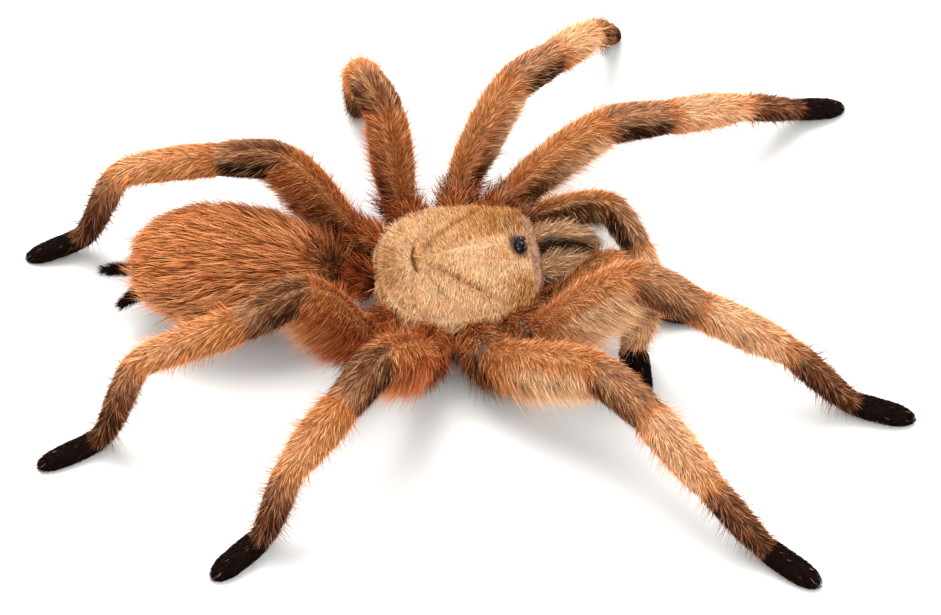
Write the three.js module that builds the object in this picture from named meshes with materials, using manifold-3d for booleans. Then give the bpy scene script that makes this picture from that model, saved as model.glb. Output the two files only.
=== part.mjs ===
// Tarantula, adult female, standing: a still, life-size display model in millimetres.
//
// Frame while building: +X towards the head, +Y towards the animal's left, +Z up, the floor at
// z = 0 and the origin under the hub of the legs. The finished group is shifted so that its
// origin is the centre of its box's base.
//
// Every solid is the outline of the body with its dense coat on. Each leg and feeler is one bent
// tube parted by thin cuts at its joints; the carapace, abdomen and jaws are warped spheres and
// tubes.

import * as THREE from 'three';
import { mergeVertices } from 'three/addons/utils/BufferGeometryUtils.js';
import Module from 'manifold-3d';

// ---- Driving dimensions, millimetres --------------------------------------------------------

const JOINT_GAP = 0.3; // width of the thin cut at a joint
const CLEARANCE = 0.3; // gap left where one piece is cut round its neighbour
const HIP_HEIGHT = 6.6; // height of the legs' roots above the floor
// Each foot's pad, at this share of the foot's length, dips this far below the floor and is cut
// flat there.
const PAD = { share: 0.85, dip: 0.25 };

// A rounded tip: the share of the length at which it starts, and how far it closes, 1 for a point.
const FOOT_TIP = { start: 0.6, closing: 0.93 };
const JAW_TIP = { start: 0.72, closing: 0.7 };
const SPINNERET_TIP = { start: 0.8, closing: 0.6 };

const LIMB_SIDES = 10;
const COXA_SIDES = 8;
const JOINT_TURN = 0.2; // share of a segment's length over which its centre line turns at a joint
// Shares of a segment's length at which its rings stand.
const SEGMENT_RINGS = [0, 0.25, 0.5, 0.75, 1];
const FOOT_RINGS = [0, 0.3, 0.6, 0.85, 1];

const CARAPACE = { length: 19.2, width: 17.6, middle: 1.1, margin: 6.9, dome: 3.6, lip: 0.7 };
// Powers of the rounded square that is its plan, before and behind its middle, and the share by
// which its front is narrower and its rear wider.
const PLAN = { front: 3.8, rear: 2.3, narrowing: 0.09 };
const CEPHALIC = { x: 5.6, length: 4.6, width: 3.4, rise: 0.75 }; // the raised head region
// Past its start the margin climbs in step with the square of the way to the front edge.
const BROW = { start: 4, reach: 6.7, rise: 1.3 };
const ABDOMEN = {
  length: 25, width: 15.8, height: 13, middle: [-23.4, 3.1, 7.9], skew: -11, swell: 0.12,
};
const PEDICEL = { from: [-8.2, 0.3, 5.9], to: [-12.4, 1.1, 6.6], width: 3.4, height: 3 };
const STERNUM = { length: 15, width: 11, middle: 0.4, level: 5, depth: 1.9 };
// Where each limb grows from under the body, as a share of its hip's place, and at what height.
const COXA = { rootShare: 0.3, rootLevel: 5.4 };

// Jaw bases: centre line from under the carapace, out and then down, for the left side.
const CHELICERA = {
  path: [[8.4, 2.1, 6.5], [12.4, 2.2, 8.6], [15.9, 2.2, 7], [16.3, 2.2, 3.6]],
  width: 4.1,
  height: 5.1,
  taper: [0.8, 1, 0.82], // share of its girth at the root, the middle and the tip
};
const FANG = { path: [[16, 2.1, 3], [16, 2.1, 1.2], [13.4, 2, 1.5], [12.2, 1.9, 2.2]], root: 1.3, tip: 0.5 };

const EYE_SEAT = 0.05; // gap between the eye mound and the carapace
const EYE_MOUND = { x: 8, level: 10.6, length: 2.1, width: 2.9, height: 1.1 };
// Eyes of the left side on the mound: [forward, left, up, radius] from the mound's middle.
const EYES = [
  [0.55, 0.55, 0.75, 0.42],
  [0.8, 1.15, 0.25, 0.36],
  [-0.35, 1.25, 0.35, 0.32],
  [-0.5, 0.85, 0.55, 0.24],
];

// Long rear spinnerets, each a straight taper.
const SPINNERETS = {
  left: { from: [-33, 5.3, 6.6], to: [-38.7, 6.1, 6.1] },
  right: { from: [-33, 3.4, 6.2], to: [-37, 1.6, 5] },
};
const SPINNERET_GIRTH = [1.9, 1.6, 1.1];

// Root of each limb on the left side: forward, out.
const HIPS = { 1: [8.4, 9.8], 2: [3, 12.2], 3: [-4.1, 10.8], 4: [-10.5, 7.6], palp: [11, 6.4] };

const SEGMENT_NAMES = {
  leg: ['femur', 'patella', 'tibia', 'metatarsus', 'tarsus'],
  palp: ['femur', 'patella', 'tibia', 'tarsus'],
};
const SEGMENT_LENGTHS = {
  1: [13.9, 7.5, 11.7, 9.7, 7.3],
  2: [13.4, 6.9, 10.1, 8.8, 7],
  3: [11.5, 6, 8.5, 9.8, 6.6],
  4: [13.2, 6.6, 11.6, 13.2, 7.2],
  palp: [8.8, 5.4, 7.2, 6.4],
};

// Girths with the coat on, at each joint and at each segment's middle in turn, from the coxa's
// root to the tip. The fourth legs are slimmer from the knee on.
const GIRTHS = {
  leg: {
    width: [3.4, 4.2, 3.8, 5.2, 4.7, 4.9, 4.3, 4.6, 3.3, 3.4, 2.7, 3.1, 2.5],
    height: [3.4, 4.3, 4.5, 6, 5.1, 5, 4.5, 4.9, 3.5, 3.6, 2.8, 2.8, 1.9],
  },
  hind: {
    width: [3.4, 4.2, 3.8, 5.2, 4.7, 4.8, 4.1, 4.2, 3.2, 3.2, 2.6, 2.8, 2.4],
    height: [3.4, 4.3, 4.5, 6, 5.1, 4.9, 4.2, 4.4, 3.4, 3.4, 2.7, 2.6, 1.8],
  },
  palp: {
    width: [2.8, 3.5, 3.2, 4, 3.9, 4, 3.7, 4, 3.2, 3.7, 2.8],
    height: [2.8, 3.6, 3.7, 4.6, 4.2, 4.2, 3.8, 4.1, 3.2, 3, 1.9],
  },
};

// The stance, in degrees. Pitch is above the level, for every segment but the foot, which slopes
// down to the floor. Yaw is from the head's direction towards the limb's own side.
const STANCE = {
  left: {
    1: { pitch: [24, -5, -20, -32], yaw: [20, 8, 20, 24, 11] },
    2: { pitch: [42, -6, -24, -43], yaw: [44, 38, 50, 62, 64] },
    3: { pitch: [64, -9, -43, -68], yaw: [101, 104, 95, 90, 91] },
    4: { pitch: [56, -3, -15, -62], yaw: [165, 167, 170, 168, 184] },
    palp: { pitch: [20, -29, -44], yaw: [-15, -57, -64, -8] },
  },
  right: {
    1: { pitch: [41, -28, -22, -38], yaw: [7, 14, 23.5, 27, 19] },
    2: { pitch: [20, -8, -17, -38], yaw: [34, 50, 56, 42, 42] },
    3: { pitch: [44, -9, -21, -62], yaw: [130, 137, 139.5, 149, 149] },
    4: { pitch: [58, -8, -18, -63], yaw: [163, 161, 175, 172, 163] },
    palp: { pitch: [42, -30, -84], yaw: [-2, 57, 150, 91] },
  },
};

const SIDES = { left: 1, right: -1 };

const COLOURS = {
  femur: 0xc9752f, patella: 0x5b4536, tibia: 0xd98a48, metatarsus: 0x6b4229, tarsus: 0x2a1c17,
  carapace: 0xdcb57c, abdomen: 0xb5652a, underside: 0x4a3226, chelicera: 0x8b7460,
  pedicel: 0x3a241a, fang: 0x160f0d, eyes: 0x0c0b0b, spinneret: 0x1d1411,
};
const FUR_ROUGHNESS = 0.9;
const GLOSS_ROUGHNESS = 0.25;
const GLOSSY = ['fang', 'eyes'];

// ---- Small tools ----------------------------------------------------------------------------

const wasm = await Module();
wasm.setup();

const vector = (xyz) => new THREE.Vector3(...xyz);
const UP = vector([0, 0, 1]);

/** A point moved to the other side of the animal when side is -1. */
const sided = ([x, y, z], side) => vector([x, side * y, z]);

/** Unit vector at a pitch above the level and a yaw from +X, both in degrees. */
function heading(pitch, yaw) {
  const rise = THREE.MathUtils.degToRad(pitch);
  const turn = THREE.MathUtils.degToRad(yaw);
  return vector([Math.cos(rise) * Math.cos(turn), Math.cos(rise) * Math.sin(turn), Math.sin(rise)]);
}

/** Value at t of the parabola that passes through start, middle and end at t = 0, 1/2 and 1. */
function parabola([start, middle, end], t) {
  return start * (1 - t) * (1 - 2 * t) + 4 * middle * t * (1 - t) + end * t * (2 * t - 1);
}

/** Share of a tube's girth at t: its tip closes in a quarter ellipse, down to a small flat. */
function tipRounding(t, { start, closing }) {
  const reach = Math.max(0, (t - start) / (1 - start));
  return Math.sqrt(1 - closing * reach * reach);
}

/** Moves every vertex of a geometry by a function of its place. */
function warp(geometry, move) {
  const position = geometry.attributes.position;
  const point = new THREE.Vector3();
  for (let i = 0; i < position.count; i += 1) {
    point.fromBufferAttribute(position, i);
    move(point);
    position.setXYZ(i, point.x, point.y, point.z);
  }
  geometry.computeVertexNormals();
  return geometry;
}

/** A station of a tube: its centre, its two cross axes and its full width and height. */
function station(centre, along, across, width, height) {
  const level = across.clone().addScaledVector(along, -across.dot(along)).normalize();
  return { centre, across: level, upward: along.clone().cross(level), width, height };
}

/** A closed tube: a unit cylinder whose rings are carried to the stations. Its underside never
 * passes below the floor, which leaves a small flat where it rests. */
function tube(stations, sides = LIMB_SIDES) {
  const spans = stations.length - 1;
  return warp(new THREE.CylinderGeometry(1, 1, 1, sides, spans), (point) => {
    const at = stations[Math.round((point.y + 0.5) * spans)];
    const { x: rise, z: reach } = point;
    point.copy(at.centre);
    point.addScaledVector(at.upward, (rise * at.height) / 2);
    point.addScaledVector(at.across, (reach * at.width) / 2);
    point.z = Math.max(0, point.z);
  });
}

/** A tube along a curve, with its width and height given as functions of t. */
function tubeAlong(curve, spans, width, height, sides = LIMB_SIDES) {
  const stations = [];
  for (let i = 0; i <= spans; i += 1) {
    const t = i / spans;
    const along = curve.getTangent(t);
    stations.push(station(curve.getPoint(t), along, UP.clone().cross(along), width(t), height(t)));
  }
  return tube(stations, sides);
}

/** The closed solid of a geometry, for joining and cutting. */
function solid(geometry) {
  const bare = geometry.clone();
  bare.deleteAttribute('normal');
  bare.deleteAttribute('uv');
  const merged = mergeVertices(bare, 1e-4);
  return new wasm.Manifold(new wasm.Mesh({
    numProp: 3,
    vertProperties: merged.attributes.position.array,
    triVerts: new Uint32Array(merged.index.array),
  }));
}

/** The geometry of a solid. */
function surface(made) {
  const { vertProperties, triVerts } = made.getMesh();
  const geometry = new THREE.BufferGeometry();
  geometry.setAttribute('position', new THREE.BufferAttribute(vertProperties, 3));
  geometry.setIndex(new THREE.BufferAttribute(triVerts, 1));
  return geometry;
}

/** A geometry with its neighbours' room cut away: their shapes grown by the clearance. */
function cutRound(geometry, ...rooms) {
  return surface(rooms.reduce((left, room) => left.subtract(solid(room)), solid(geometry)));
}

// ---- Limbs ----------------------------------------------------------------------------------

const limbType = (kind) => (kind === 'palp' ? 'palp' : 'leg');
const girthsOf = (kind) => GIRTHS[kind === '4' ? 'hind' : limbType(kind)];

/** Value of a list of girths at t along segment i, with the tip rounded where it is a foot. */
function girthAt(list, i, t) {
  const isFoot = 2 * i + 3 === list.length;
  return parabola(list.slice(2 * i, 2 * i + 3), t) * (isFoot ? tipRounding(t, FOOT_TIP) : 1);
}

/** Downward slope, in degrees, of a foot whose underside dips below the floor at its pad:
 * reach * sin(slope) + half * cos(slope) = ankle + dip. */
function footSlope(ankle, length, girth) {
  const reach = PAD.share * length;
  const half = girth / 2;
  const lean = Math.asin((ankle + PAD.dip) / Math.hypot(reach, half));
  return THREE.MathUtils.radToDeg(lean - Math.atan2(half, reach));
}

/** Joint centres of a limb from its root under the body, the heading of each segment and the
 * level axis across it. The coxa is segment 0. */
function limbFrame(kind, side) {
  const [x, y] = HIPS[kind];
  const root = sided([x * COXA.rootShare, y * COXA.rootShare, COXA.rootLevel], SIDES[side]);
  const hip = sided([x, y, HIP_HEIGHT], SIDES[side]);
  const outward = hip.clone().sub(root);
  const joints = [root, hip];
  const headings = [outward.clone().normalize()];
  const acrosses = [UP.clone().cross(outward).normalize()];
  const { pitch, yaw } = STANCE[side][kind];
  SEGMENT_LENGTHS[kind].forEach((length, i) => {
    const start = joints.at(-1);
    const padGirth = girthAt(girthsOf(kind).height, i + 1, PAD.share);
    const rise = pitch[i] ?? -footSlope(start.z, length, padGirth);
    const turn = SIDES[side] * yaw[i];
    headings.push(heading(rise, turn));
    acrosses.push(heading(0, turn + 90));
    joints.push(start.clone().addScaledVector(headings.at(-1), length));
  });
  return { joints, headings, acrosses };
}

/** Mean of a limb's vectors on both sides of joint i, or the only one at its two ends. */
function atJoint(vectors, i) {
  const before = vectors[Math.max(i - 1, 0)];
  const after = vectors[Math.min(i, vectors.length - 1)];
  return before.clone().add(after).normalize();
}

/** Segment i of a limb: a tube that turns into its neighbours' directions near its joints. */
function limbSegment(frame, girths, i) {
  const last = i === frame.headings.length - 1;
  const rings = last ? FOOT_RINGS : SEGMENT_RINGS;
  const [start, end] = [frame.joints[i], frame.joints[i + 1]];
  const [leaving, arriving] = [atJoint(frame.headings, i), atJoint(frame.headings, i + 1)];
  const [acrossStart, acrossEnd] = [atJoint(frame.acrosses, i), atJoint(frame.acrosses, i + 1)];
  const handle = JOINT_TURN * start.distanceTo(end);
  const line = new THREE.CubicBezierCurve3(
    start,
    start.clone().addScaledVector(leaving, handle),
    end.clone().addScaledVector(arriving, -handle),
    end,
  );
  const stations = rings.map((t) => {
    const centre = line.getPoint(t);
    if (t === 0) centre.addScaledVector(leaving, JOINT_GAP / 2);
    if (t === 1 && !last) centre.addScaledVector(arriving, -JOINT_GAP / 2);
    const across = acrossStart.clone().lerp(acrossEnd, t);
    const along = line.getTangent(t);
    return station(centre, along, across, girthAt(girths.width, i, t), girthAt(girths.height, i, t));
  });
  return tube(stations, i === 0 ? COXA_SIDES : LIMB_SIDES);
}

// ---- Body -----------------------------------------------------------------------------------

/** A sphere whose poles lie on the Z axis. */
const uprightSphere = (around, down) => new THREE.SphereGeometry(1, around, down).rotateX(Math.PI / 2);

/** The carapace: a low dome on a rounded-square plan that narrows forward, with the head region
 * raised along the midline, a margin that climbs towards the jaws and a shallow underside. */
function carapaceShape(grow = 0, around = 26, down = 12) {
  return warp(uprightSphere(around, down), (point) => {
    const { x: a, y: b, z: c } = point;
    const round = Math.hypot(a, b);
    const power = a > 0 ? PLAN.front : PLAN.rear;
    const corner = (Math.abs(a) ** power + Math.abs(b) ** power) ** (1 / power);
    const spread = corner > 0 ? round / corner : 1;
    const x = a * spread;
    const y = b * spread * (1 - PLAN.narrowing * x);
    point.x = CARAPACE.middle + x * (CARAPACE.length / 2 + grow);
    point.y = y * (CARAPACE.width / 2 + grow);
    const ridge = Math.exp(
      -(((point.x - CEPHALIC.x) / CEPHALIC.length) ** 2) - (point.y / CEPHALIC.width) ** 2,
    );
    const climb = BROW.rise * (Math.max(0, point.x - BROW.start) / BROW.reach) ** 2;
    const above = CARAPACE.dome + CEPHALIC.rise * ridge - climb + grow;
    point.z = CARAPACE.margin + climb + (c > 0 ? above : CARAPACE.lip + grow) * c;
  });
}

/** The abdomen: an egg, fullest behind its middle, skewed towards the animal's left. */
function abdomenShape(grow = 0) {
  const shape = warp(new THREE.SphereGeometry(1, 22, 14).rotateZ(-Math.PI / 2), (point) => {
    const swell = 1 - ABDOMEN.swell * point.x;
    point.x *= ABDOMEN.length / 2 + grow;
    point.y *= (ABDOMEN.width / 2 + grow) * swell;
    point.z *= (ABDOMEN.height / 2 + grow) * swell;
  });
  shape.rotateZ(THREE.MathUtils.degToRad(ABDOMEN.skew));
  return shape.translate(...ABDOMEN.middle);
}

/** Breastplate with the root segments of all ten limbs growing from it. */
function undersideShape() {
  const plate = warp(uprightSphere(14, 6), (point) => {
    point.x = STERNUM.middle + (point.x * STERNUM.length) / 2;
    point.y *= STERNUM.width / 2;
    point.z = STERNUM.level + point.z * STERNUM.depth;
  });
  let joined = solid(plate);
  for (const side of Object.keys(SIDES)) {
    for (const kind of Object.keys(HIPS)) {
      joined = joined.add(solid(limbSegment(limbFrame(kind, side), girthsOf(kind), 0)));
    }
  }
  return surface(joined);
}

/** One jaw base: a stout tube that leaves the head level and turns down at its rounded front. */
function cheliceraShape(side, grow = 0) {
  const line = new THREE.CubicBezierCurve3(...CHELICERA.path.map((p) => sided(p, side)));
  const share = (t) => parabola(CHELICERA.taper, t) * tipRounding(t, JAW_TIP);
  const width = (t) => CHELICERA.width * share(t) + 2 * grow;
  const height = (t) => CHELICERA.height * share(t) + 2 * grow;
  return tubeAlong(line, 6, width, height, 10);
}

/** The narrow waist between the two halves of the body. */
function pedicelShape(grow = 0) {
  const line = new THREE.LineCurve3(vector(PEDICEL.from), vector(PEDICEL.to));
  return tubeAlong(line, 2, () => PEDICEL.width + 2 * grow, () => PEDICEL.height + 2 * grow);
}

/** One fang: a curved cone folded back under its jaw base. */
function fangShape(side) {
  const line = new THREE.CubicBezierCurve3(...FANG.path.map((p) => sided(p, side)));
  const girth = (t) => THREE.MathUtils.lerp(FANG.root, FANG.tip, t);
  return tubeAlong(line, 5, girth, girth, 8);
}

/** The eye mound with its eight eyes, joined. */
function eyesShape() {
  const mound = new THREE.SphereGeometry(1, 10, 6);
  mound.scale(EYE_MOUND.length / 2, EYE_MOUND.width / 2, EYE_MOUND.height);
  let joined = solid(mound);
  for (const side of Object.values(SIDES)) {
    for (const [forward, left, up, radius] of EYES) {
      const eye = new THREE.SphereGeometry(radius, 6, 4).translate(forward, side * left, up);
      joined = joined.add(solid(eye));
    }
  }
  return surface(joined.translate([EYE_MOUND.x, 0, EYE_MOUND.level]));
}

/** One long spinneret. */
function spinneretShape({ from, to }) {
  const girth = (t) => parabola(SPINNERET_GIRTH, t) * tipRounding(t, SPINNERET_TIP);
  return tubeAlong(new THREE.LineCurve3(vector(from), vector(to)), 5, girth, girth, 8);
}

// ---- Assembly -------------------------------------------------------------------------------

const tarantula = new THREE.Group();
tarantula.name = 'tarantula';

/** Adds a named piece, coloured by the kind that its name holds. */
function addPiece(name, geometry, kind) {
  const material = new THREE.MeshStandardMaterial({
    color: COLOURS[kind],
    roughness: GLOSSY.includes(kind) ? GLOSS_ROUGHNESS : FUR_ROUGHNESS,
    metalness: 0,
  });
  const mesh = new THREE.Mesh(geometry, material);
  mesh.name = name;
  tarantula.add(mesh);
}

for (const side of Object.keys(SIDES)) {
  for (const kind of Object.keys(HIPS)) {
    const frame = limbFrame(kind, side);
    const limb = kind === 'palp' ? `palp_${side}` : `leg_${side}_${kind}`;
    SEGMENT_NAMES[limbType(kind)].forEach((segment, i) => {
      addPiece(`${limb}_${segment}`, limbSegment(frame, girthsOf(kind), i + 1), segment);
    });
  }
}

const carapaceRoom = carapaceShape(1.5 * CLEARANCE, 20, 8);
const abdomenRoom = abdomenShape(CLEARANCE);
const undersideRooms = [
  carapaceRoom, pedicelShape(CLEARANCE), cheliceraShape(1, CLEARANCE), cheliceraShape(-1, CLEARANCE),
];

addPiece('carapace', carapaceShape(), 'carapace');
addPiece('underside', cutRound(undersideShape(), ...undersideRooms), 'underside');
addPiece('abdomen', abdomenShape(), 'abdomen');
addPiece('pedicel', cutRound(pedicelShape(), carapaceRoom, abdomenRoom), 'pedicel');
addPiece('eyes', cutRound(eyesShape(), carapaceShape(EYE_SEAT)), 'eyes');
for (const [side, sign] of Object.entries(SIDES)) {
  addPiece(`chelicera_${side}`, cutRound(cheliceraShape(sign), carapaceRoom), 'chelicera');
  addPiece(`fang_${side}`, fangShape(sign), 'fang');
  addPiece(`spinneret_${side}`, cutRound(spinneretShape(SPINNERETS[side]), abdomenRoom), 'spinneret');
}

// The origin goes to the centre of the box's base.
const box = new THREE.Box3().setFromObject(tarantula);
const centre = box.getCenter(new THREE.Vector3());
for (const mesh of tarantula.children) mesh.geometry.translate(-centre.x, -centre.y, -box.min.z);

export default tarantula;
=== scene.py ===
"""Tarantula, adult female: skin, shell, eyes, claws and coat round the fixed frame of its solids.

Shapes are worked out in millimetres in the animal's own frame (+X to the head, +Y to its left, the
origin under the hub of the legs) and put into the frame's metres by one function, place().
"""

import math
from dataclasses import dataclass

import bpy
import numpy as np
from bpy.props import FloatProperty, FloatVectorProperty, IntProperty, PointerProperty
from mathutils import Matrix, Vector


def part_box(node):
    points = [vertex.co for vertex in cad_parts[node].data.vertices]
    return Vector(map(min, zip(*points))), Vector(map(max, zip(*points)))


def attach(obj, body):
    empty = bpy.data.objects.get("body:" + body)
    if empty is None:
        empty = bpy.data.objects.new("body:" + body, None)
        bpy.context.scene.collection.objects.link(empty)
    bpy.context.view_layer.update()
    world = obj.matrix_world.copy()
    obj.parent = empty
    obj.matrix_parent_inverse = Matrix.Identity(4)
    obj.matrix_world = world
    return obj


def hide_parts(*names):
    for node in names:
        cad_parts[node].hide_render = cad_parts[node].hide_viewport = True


bl_info = {
    "name": "Tarantula Model",
    "version": (1, 0, 0),
    "blender": (4, 5, 0),
    "location": "View3D > Sidebar > Tarantula",
    "description": "Builds the skin, shell, eyes, claws and coat of a life-size tarantula",
    "category": "Object",
}

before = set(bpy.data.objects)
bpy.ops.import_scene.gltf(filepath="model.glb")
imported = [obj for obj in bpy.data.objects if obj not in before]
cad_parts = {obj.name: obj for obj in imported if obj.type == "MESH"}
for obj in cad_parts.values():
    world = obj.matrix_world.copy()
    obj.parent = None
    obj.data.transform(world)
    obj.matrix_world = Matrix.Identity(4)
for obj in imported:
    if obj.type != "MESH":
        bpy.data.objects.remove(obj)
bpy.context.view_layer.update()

# ---- Sizes, millimetres, as in the solids' source -------------------------------------------

MM = 0.001
HIP_HEIGHT = 6.6
# A foot's pad: how far along it lies, and how far it would dip below the floor before it is made flat.
PAD = {"share": 0.85, "dip": 0.25}
# Rounded tips: where each starts, as a share of its length, and how far it closes.
FOOT_TIP = {"start": 0.6, "closing": 0.93}
JAW_TIP = {"start": 0.72, "closing": 0.7}
SPINNERET_TIP = {"start": 0.8, "closing": 0.6}
# Length of a Bezier curve's handles at the joints, as a share of the segment's.
JOINT_TURN = 0.2

CARAPACE = {"length": 19.2, "width": 17.6, "middle": 1.1, "margin": 6.9, "dome": 3.6, "lip": 0.7}
BROW = {"start": 4.0, "reach": 6.7, "rise": 1.3}
PLAN = {"front": 3.8, "rear": 2.3, "narrowing": 0.09}
CEPHALIC = {"x": 5.6, "length": 4.6, "width": 3.4, "rise": 0.75}
ABDOMEN = {
    "length": 25.0, "width": 15.8, "height": 13.0, "swell": 0.12,
    "middle": (-23.4, 3.1, 7.9), "skew": -11.0,
}
PEDICEL = {"from": (-8.2, 0.3, 5.9), "to": (-12.4, 1.1, 6.6), "width": 3.4, "height": 3.0}
STERNUM = {"length": 15.0, "width": 11.0, "middle": 0.4, "level": 5.0, "depth": 1.9}
COXA = {"root_share": 0.3, "root_level": 5.4}
CHELICERA = {
    "path": ((8.4, 2.1, 6.5), (12.4, 2.2, 8.6), (15.9, 2.2, 7.0), (16.3, 2.2, 3.6)),
    "width": 4.1, "height": 5.1, "taper": (0.8, 1.0, 0.82),
}
FANG = {
    "path": ((16.0, 2.1, 3.0), (16.0, 2.1, 1.2), (13.4, 2.0, 1.5), (12.2, 1.9, 2.2)),
    "root": 1.3, "tip": 0.5,
}
# Girth at the real fang's point, as a share of its solid's blunt tip.
FANG_POINT = 0.5
# A claw: its girth at the root and point, how far it starts from the foot's middle and above it, and the
# steps ahead and up that its curve is drawn through.
CLAW = {"root": 0.3, "tip": 0.06, "aside": 0.35, "above": 0.25}
CLAW_PATH = ((0.0, 0.0), (0.9, 0.3), (1.5, 0.0), (1.6, -0.5))
CLAW_STATION = -8  # of the foot's stations, the one where its claws start
EYE_MOUND = {"x": 8.05, "level": 10.2, "length": 1.3, "width": 1.95, "height": 0.75}
EYE_SINK = 0.15  # how far the mound's middle lies under its level
# The eyes of the left half: ahead of the mound's middle, out from it, above it, and radius.
EYES = ((0.2, 0.32, 0.58, 0.33), (0.5, 0.7, 0.24, 0.28), (-0.22, 0.82, 0.24, 0.27), (-0.32, 0.52, 0.46, 0.19))
SPINNERETS = {
    "left": {"from": (-33.0, 5.3, 6.6), "to": (-38.7, 6.1, 6.1)},
    "right": {"from": (-33.0, 3.4, 6.2), "to": (-37.0, 1.6, 5.0)},
}
SPINNERET_GIRTH = (1.9, 1.6, 1.1)
# Where each limb leaves the body: forward, and out from the midline.
HIPS = {"1": (8.4, 9.8), "2": (3.0, 12.2), "3": (-4.1, 10.8), "4": (-10.5, 7.6), "palp": (11.0, 6.4)}
SEGMENT_LENGTHS = {
    "1": (13.9, 7.5, 11.7, 9.7, 7.3),
    "2": (13.4, 6.9, 10.1, 8.8, 7.0),
    "3": (11.5, 6.0, 8.5, 9.8, 6.6),
    "4": (13.2, 6.6, 11.6, 13.2, 7.2),
    "palp": (8.8, 5.4, 7.2, 6.4),
}
# Girths with the coat on, from coxa to tarsus: at the start, middle and end of each segment, of which
# neighbours share one.
GIRTHS = {
    "leg": {
        "width": (3.4, 4.2, 3.8, 5.2, 4.7, 4.9, 4.3, 4.6, 3.3, 3.4, 2.7, 3.1, 2.5),
        "height": (3.4, 4.3, 4.5, 6.0, 5.1, 5.0, 4.5, 4.9, 3.5, 3.6, 2.8, 2.8, 1.9),
    },
    "hind": {
        "width": (3.4, 4.2, 3.8, 5.2, 4.7, 4.8, 4.1, 4.2, 3.2, 3.2, 2.6, 2.8, 2.4),
        "height": (3.4, 4.3, 4.5, 6.0, 5.1, 4.9, 4.2, 4.4, 3.4, 3.4, 2.7, 2.6, 1.8),
    },
    "palp": {
        "width": (2.8, 3.5, 3.2, 4.0, 3.9, 4.0, 3.7, 4.0, 3.2, 3.7, 2.8),
        "height": (2.8, 3.6, 3.7, 4.6, 4.2, 4.2, 3.8, 4.1, 3.2, 3.0, 1.9),
    },
}
# Degrees above the level for each segment but the foot, and degrees round from +X for each segment.
STANCE = {
    "left": {
        "1": {"pitch": (24, -5, -20, -32), "yaw": (20, 8, 20, 24, 11)},
        "2": {"pitch": (42, -6, -24, -43), "yaw": (44, 38, 50, 62, 64)},
        "3": {"pitch": (64, -9, -43, -68), "yaw": (101, 104, 95, 90, 91)},
        "4": {"pitch": (56, -3, -15, -62), "yaw": (165, 167, 170, 168, 184)},
        "palp": {"pitch": (20, -29, -44), "yaw": (-15, -57, -64, -8)},
    },
    "right": {
        "1": {"pitch": (41, -28, -22, -38), "yaw": (7, 14, 23.5, 27, 19)},
        "2": {"pitch": (20, -8, -17, -38), "yaw": (34, 50, 56, 42, 42)},
        "3": {"pitch": (44, -9, -21, -62), "yaw": (130, 137, 139.5, 149, 149)},
        "4": {"pitch": (58, -8, -18, -63), "yaw": (163, 161, 175, 172, 163)},
        "palp": {"pitch": (42, -30, -84), "yaw": (-2, 57, 150, 91)},
    },
}
SIDES = {"left": 1, "right": -1}
LEGS = tuple((side, kind) for side in SIDES for kind in ("1", "2", "3", "4"))
PALPS = tuple((side, "palp") for side in SIDES)

# Depth of the coat over the skin: at the middle of each kind of segment, on the rest of the body, and at
# the root of a jaw base with what it loses towards its end.
KINDS = ("coxa", "femur", "patella", "tibia", "metatarsus", "tarsus")
COAT_DEPTH = (0.3, 0.5, 0.42, 0.42, 0.32, 0.15)
BODY_COAT = {"abdomen": 0.9, "sternum": 0.3, "slender": 0.25, "jaw_root": 0.75, "jaw_loss": 0.45}
# Where a tube is slender, the depth is set against this share of its greatest half width.
SLENDER_SHARE = 0.55
# Marks along a limb count its segments. A kind's values hold between its knots and blend over the joints.
JOINT_BLEND = 0.12
KNOTS = np.array([(i + JOINT_BLEND, i + 1 - JOINT_BLEND) for i in range(len(KINDS))]).ravel()

# The camera: direction from the animal, distance and the point that it looks at.
CAMERA = {"azimuth": -8.0, "elevation": 53.0, "distance": 240.0, "target": (2.47, -0.37, 0.0), "lens": 79.84}
# The stage: half the side of its floor in millimetres, the sky's strength, and the soft lamps with their
# places in millimetres, sides in metres and powers in watts.
FLOOR_HALF = 3000.0
SKY_STRENGTH = 1.5
LAMPS = (
    {"name": "overhead", "spot": (-60, 220, 440), "size": 0.34, "power": 4.6},
    {"name": "front_fill", "spot": (260, -320, 300), "size": 0.4, "power": 1.3},
)
# Rings and points round of the tubes that the skin is joined from and of the shell, the smoothing of the
# joined skin, and the stations of each tube that its colours are read at.
LIMB_GRID, BODY_GRID, SHELL_GRID = (240, 40), (60, 48), (150, 260)
SKIN_EASE = (0.5, 3)
SKIN_STATIONS = 70
# Tone of the skin under the coat and where it is bare, and of the shell under its pile. Under the coat and
# the pile the darker tone is partly the skin's own and partly painted shade among the hairs.
SKIN_TONE = 0.4
BARE_TONE = 0.55
PILE_TONE = 0.5

UP = np.array([0.0, 0.0, 1.0])
FORWARD = np.array([1.0, 0.0, 0.0])


def row_shift():
    """Millimetres from the animal's own frame to the row's: the middle of the carapace's box in the row less
    its middle in the animal's frame."""
    low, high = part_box("carapace")
    middle = (np.array(low) + np.array(high)) / 2 / MM
    return np.array([middle[0] - CARAPACE["middle"], middle[1], 0.0])


SHIFT = row_shift()


def place(points):
    """Millimetres in the animal's frame to metres in the row's frame, with nothing below the floor."""
    moved = (np.asarray(points, float) + SHIFT) * MM
    moved[:, 2] = np.maximum(moved[:, 2], 0.0)
    return moved


# ---- Small tools ----------------------------------------------------------------------------


def linear(hex_value):
    """An sRGB colour, as six hex digits, in linear light: a dark share over 12.92, and any other plus 0.055,
    over 1.055, to the power 2.4."""
    shares = np.array([int(hex_value[i : i + 2], 16) for i in (0, 2, 4)]) / 255
    return tuple(np.where(shares <= 0.04045, shares / 12.92, ((shares + 0.055) / 1.055) ** 2.4).tolist())


def unit(vectors):
    """Each vector over its own length."""
    return vectors / np.maximum(np.linalg.norm(vectors, axis=-1, keepdims=True), 1e-9)


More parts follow.
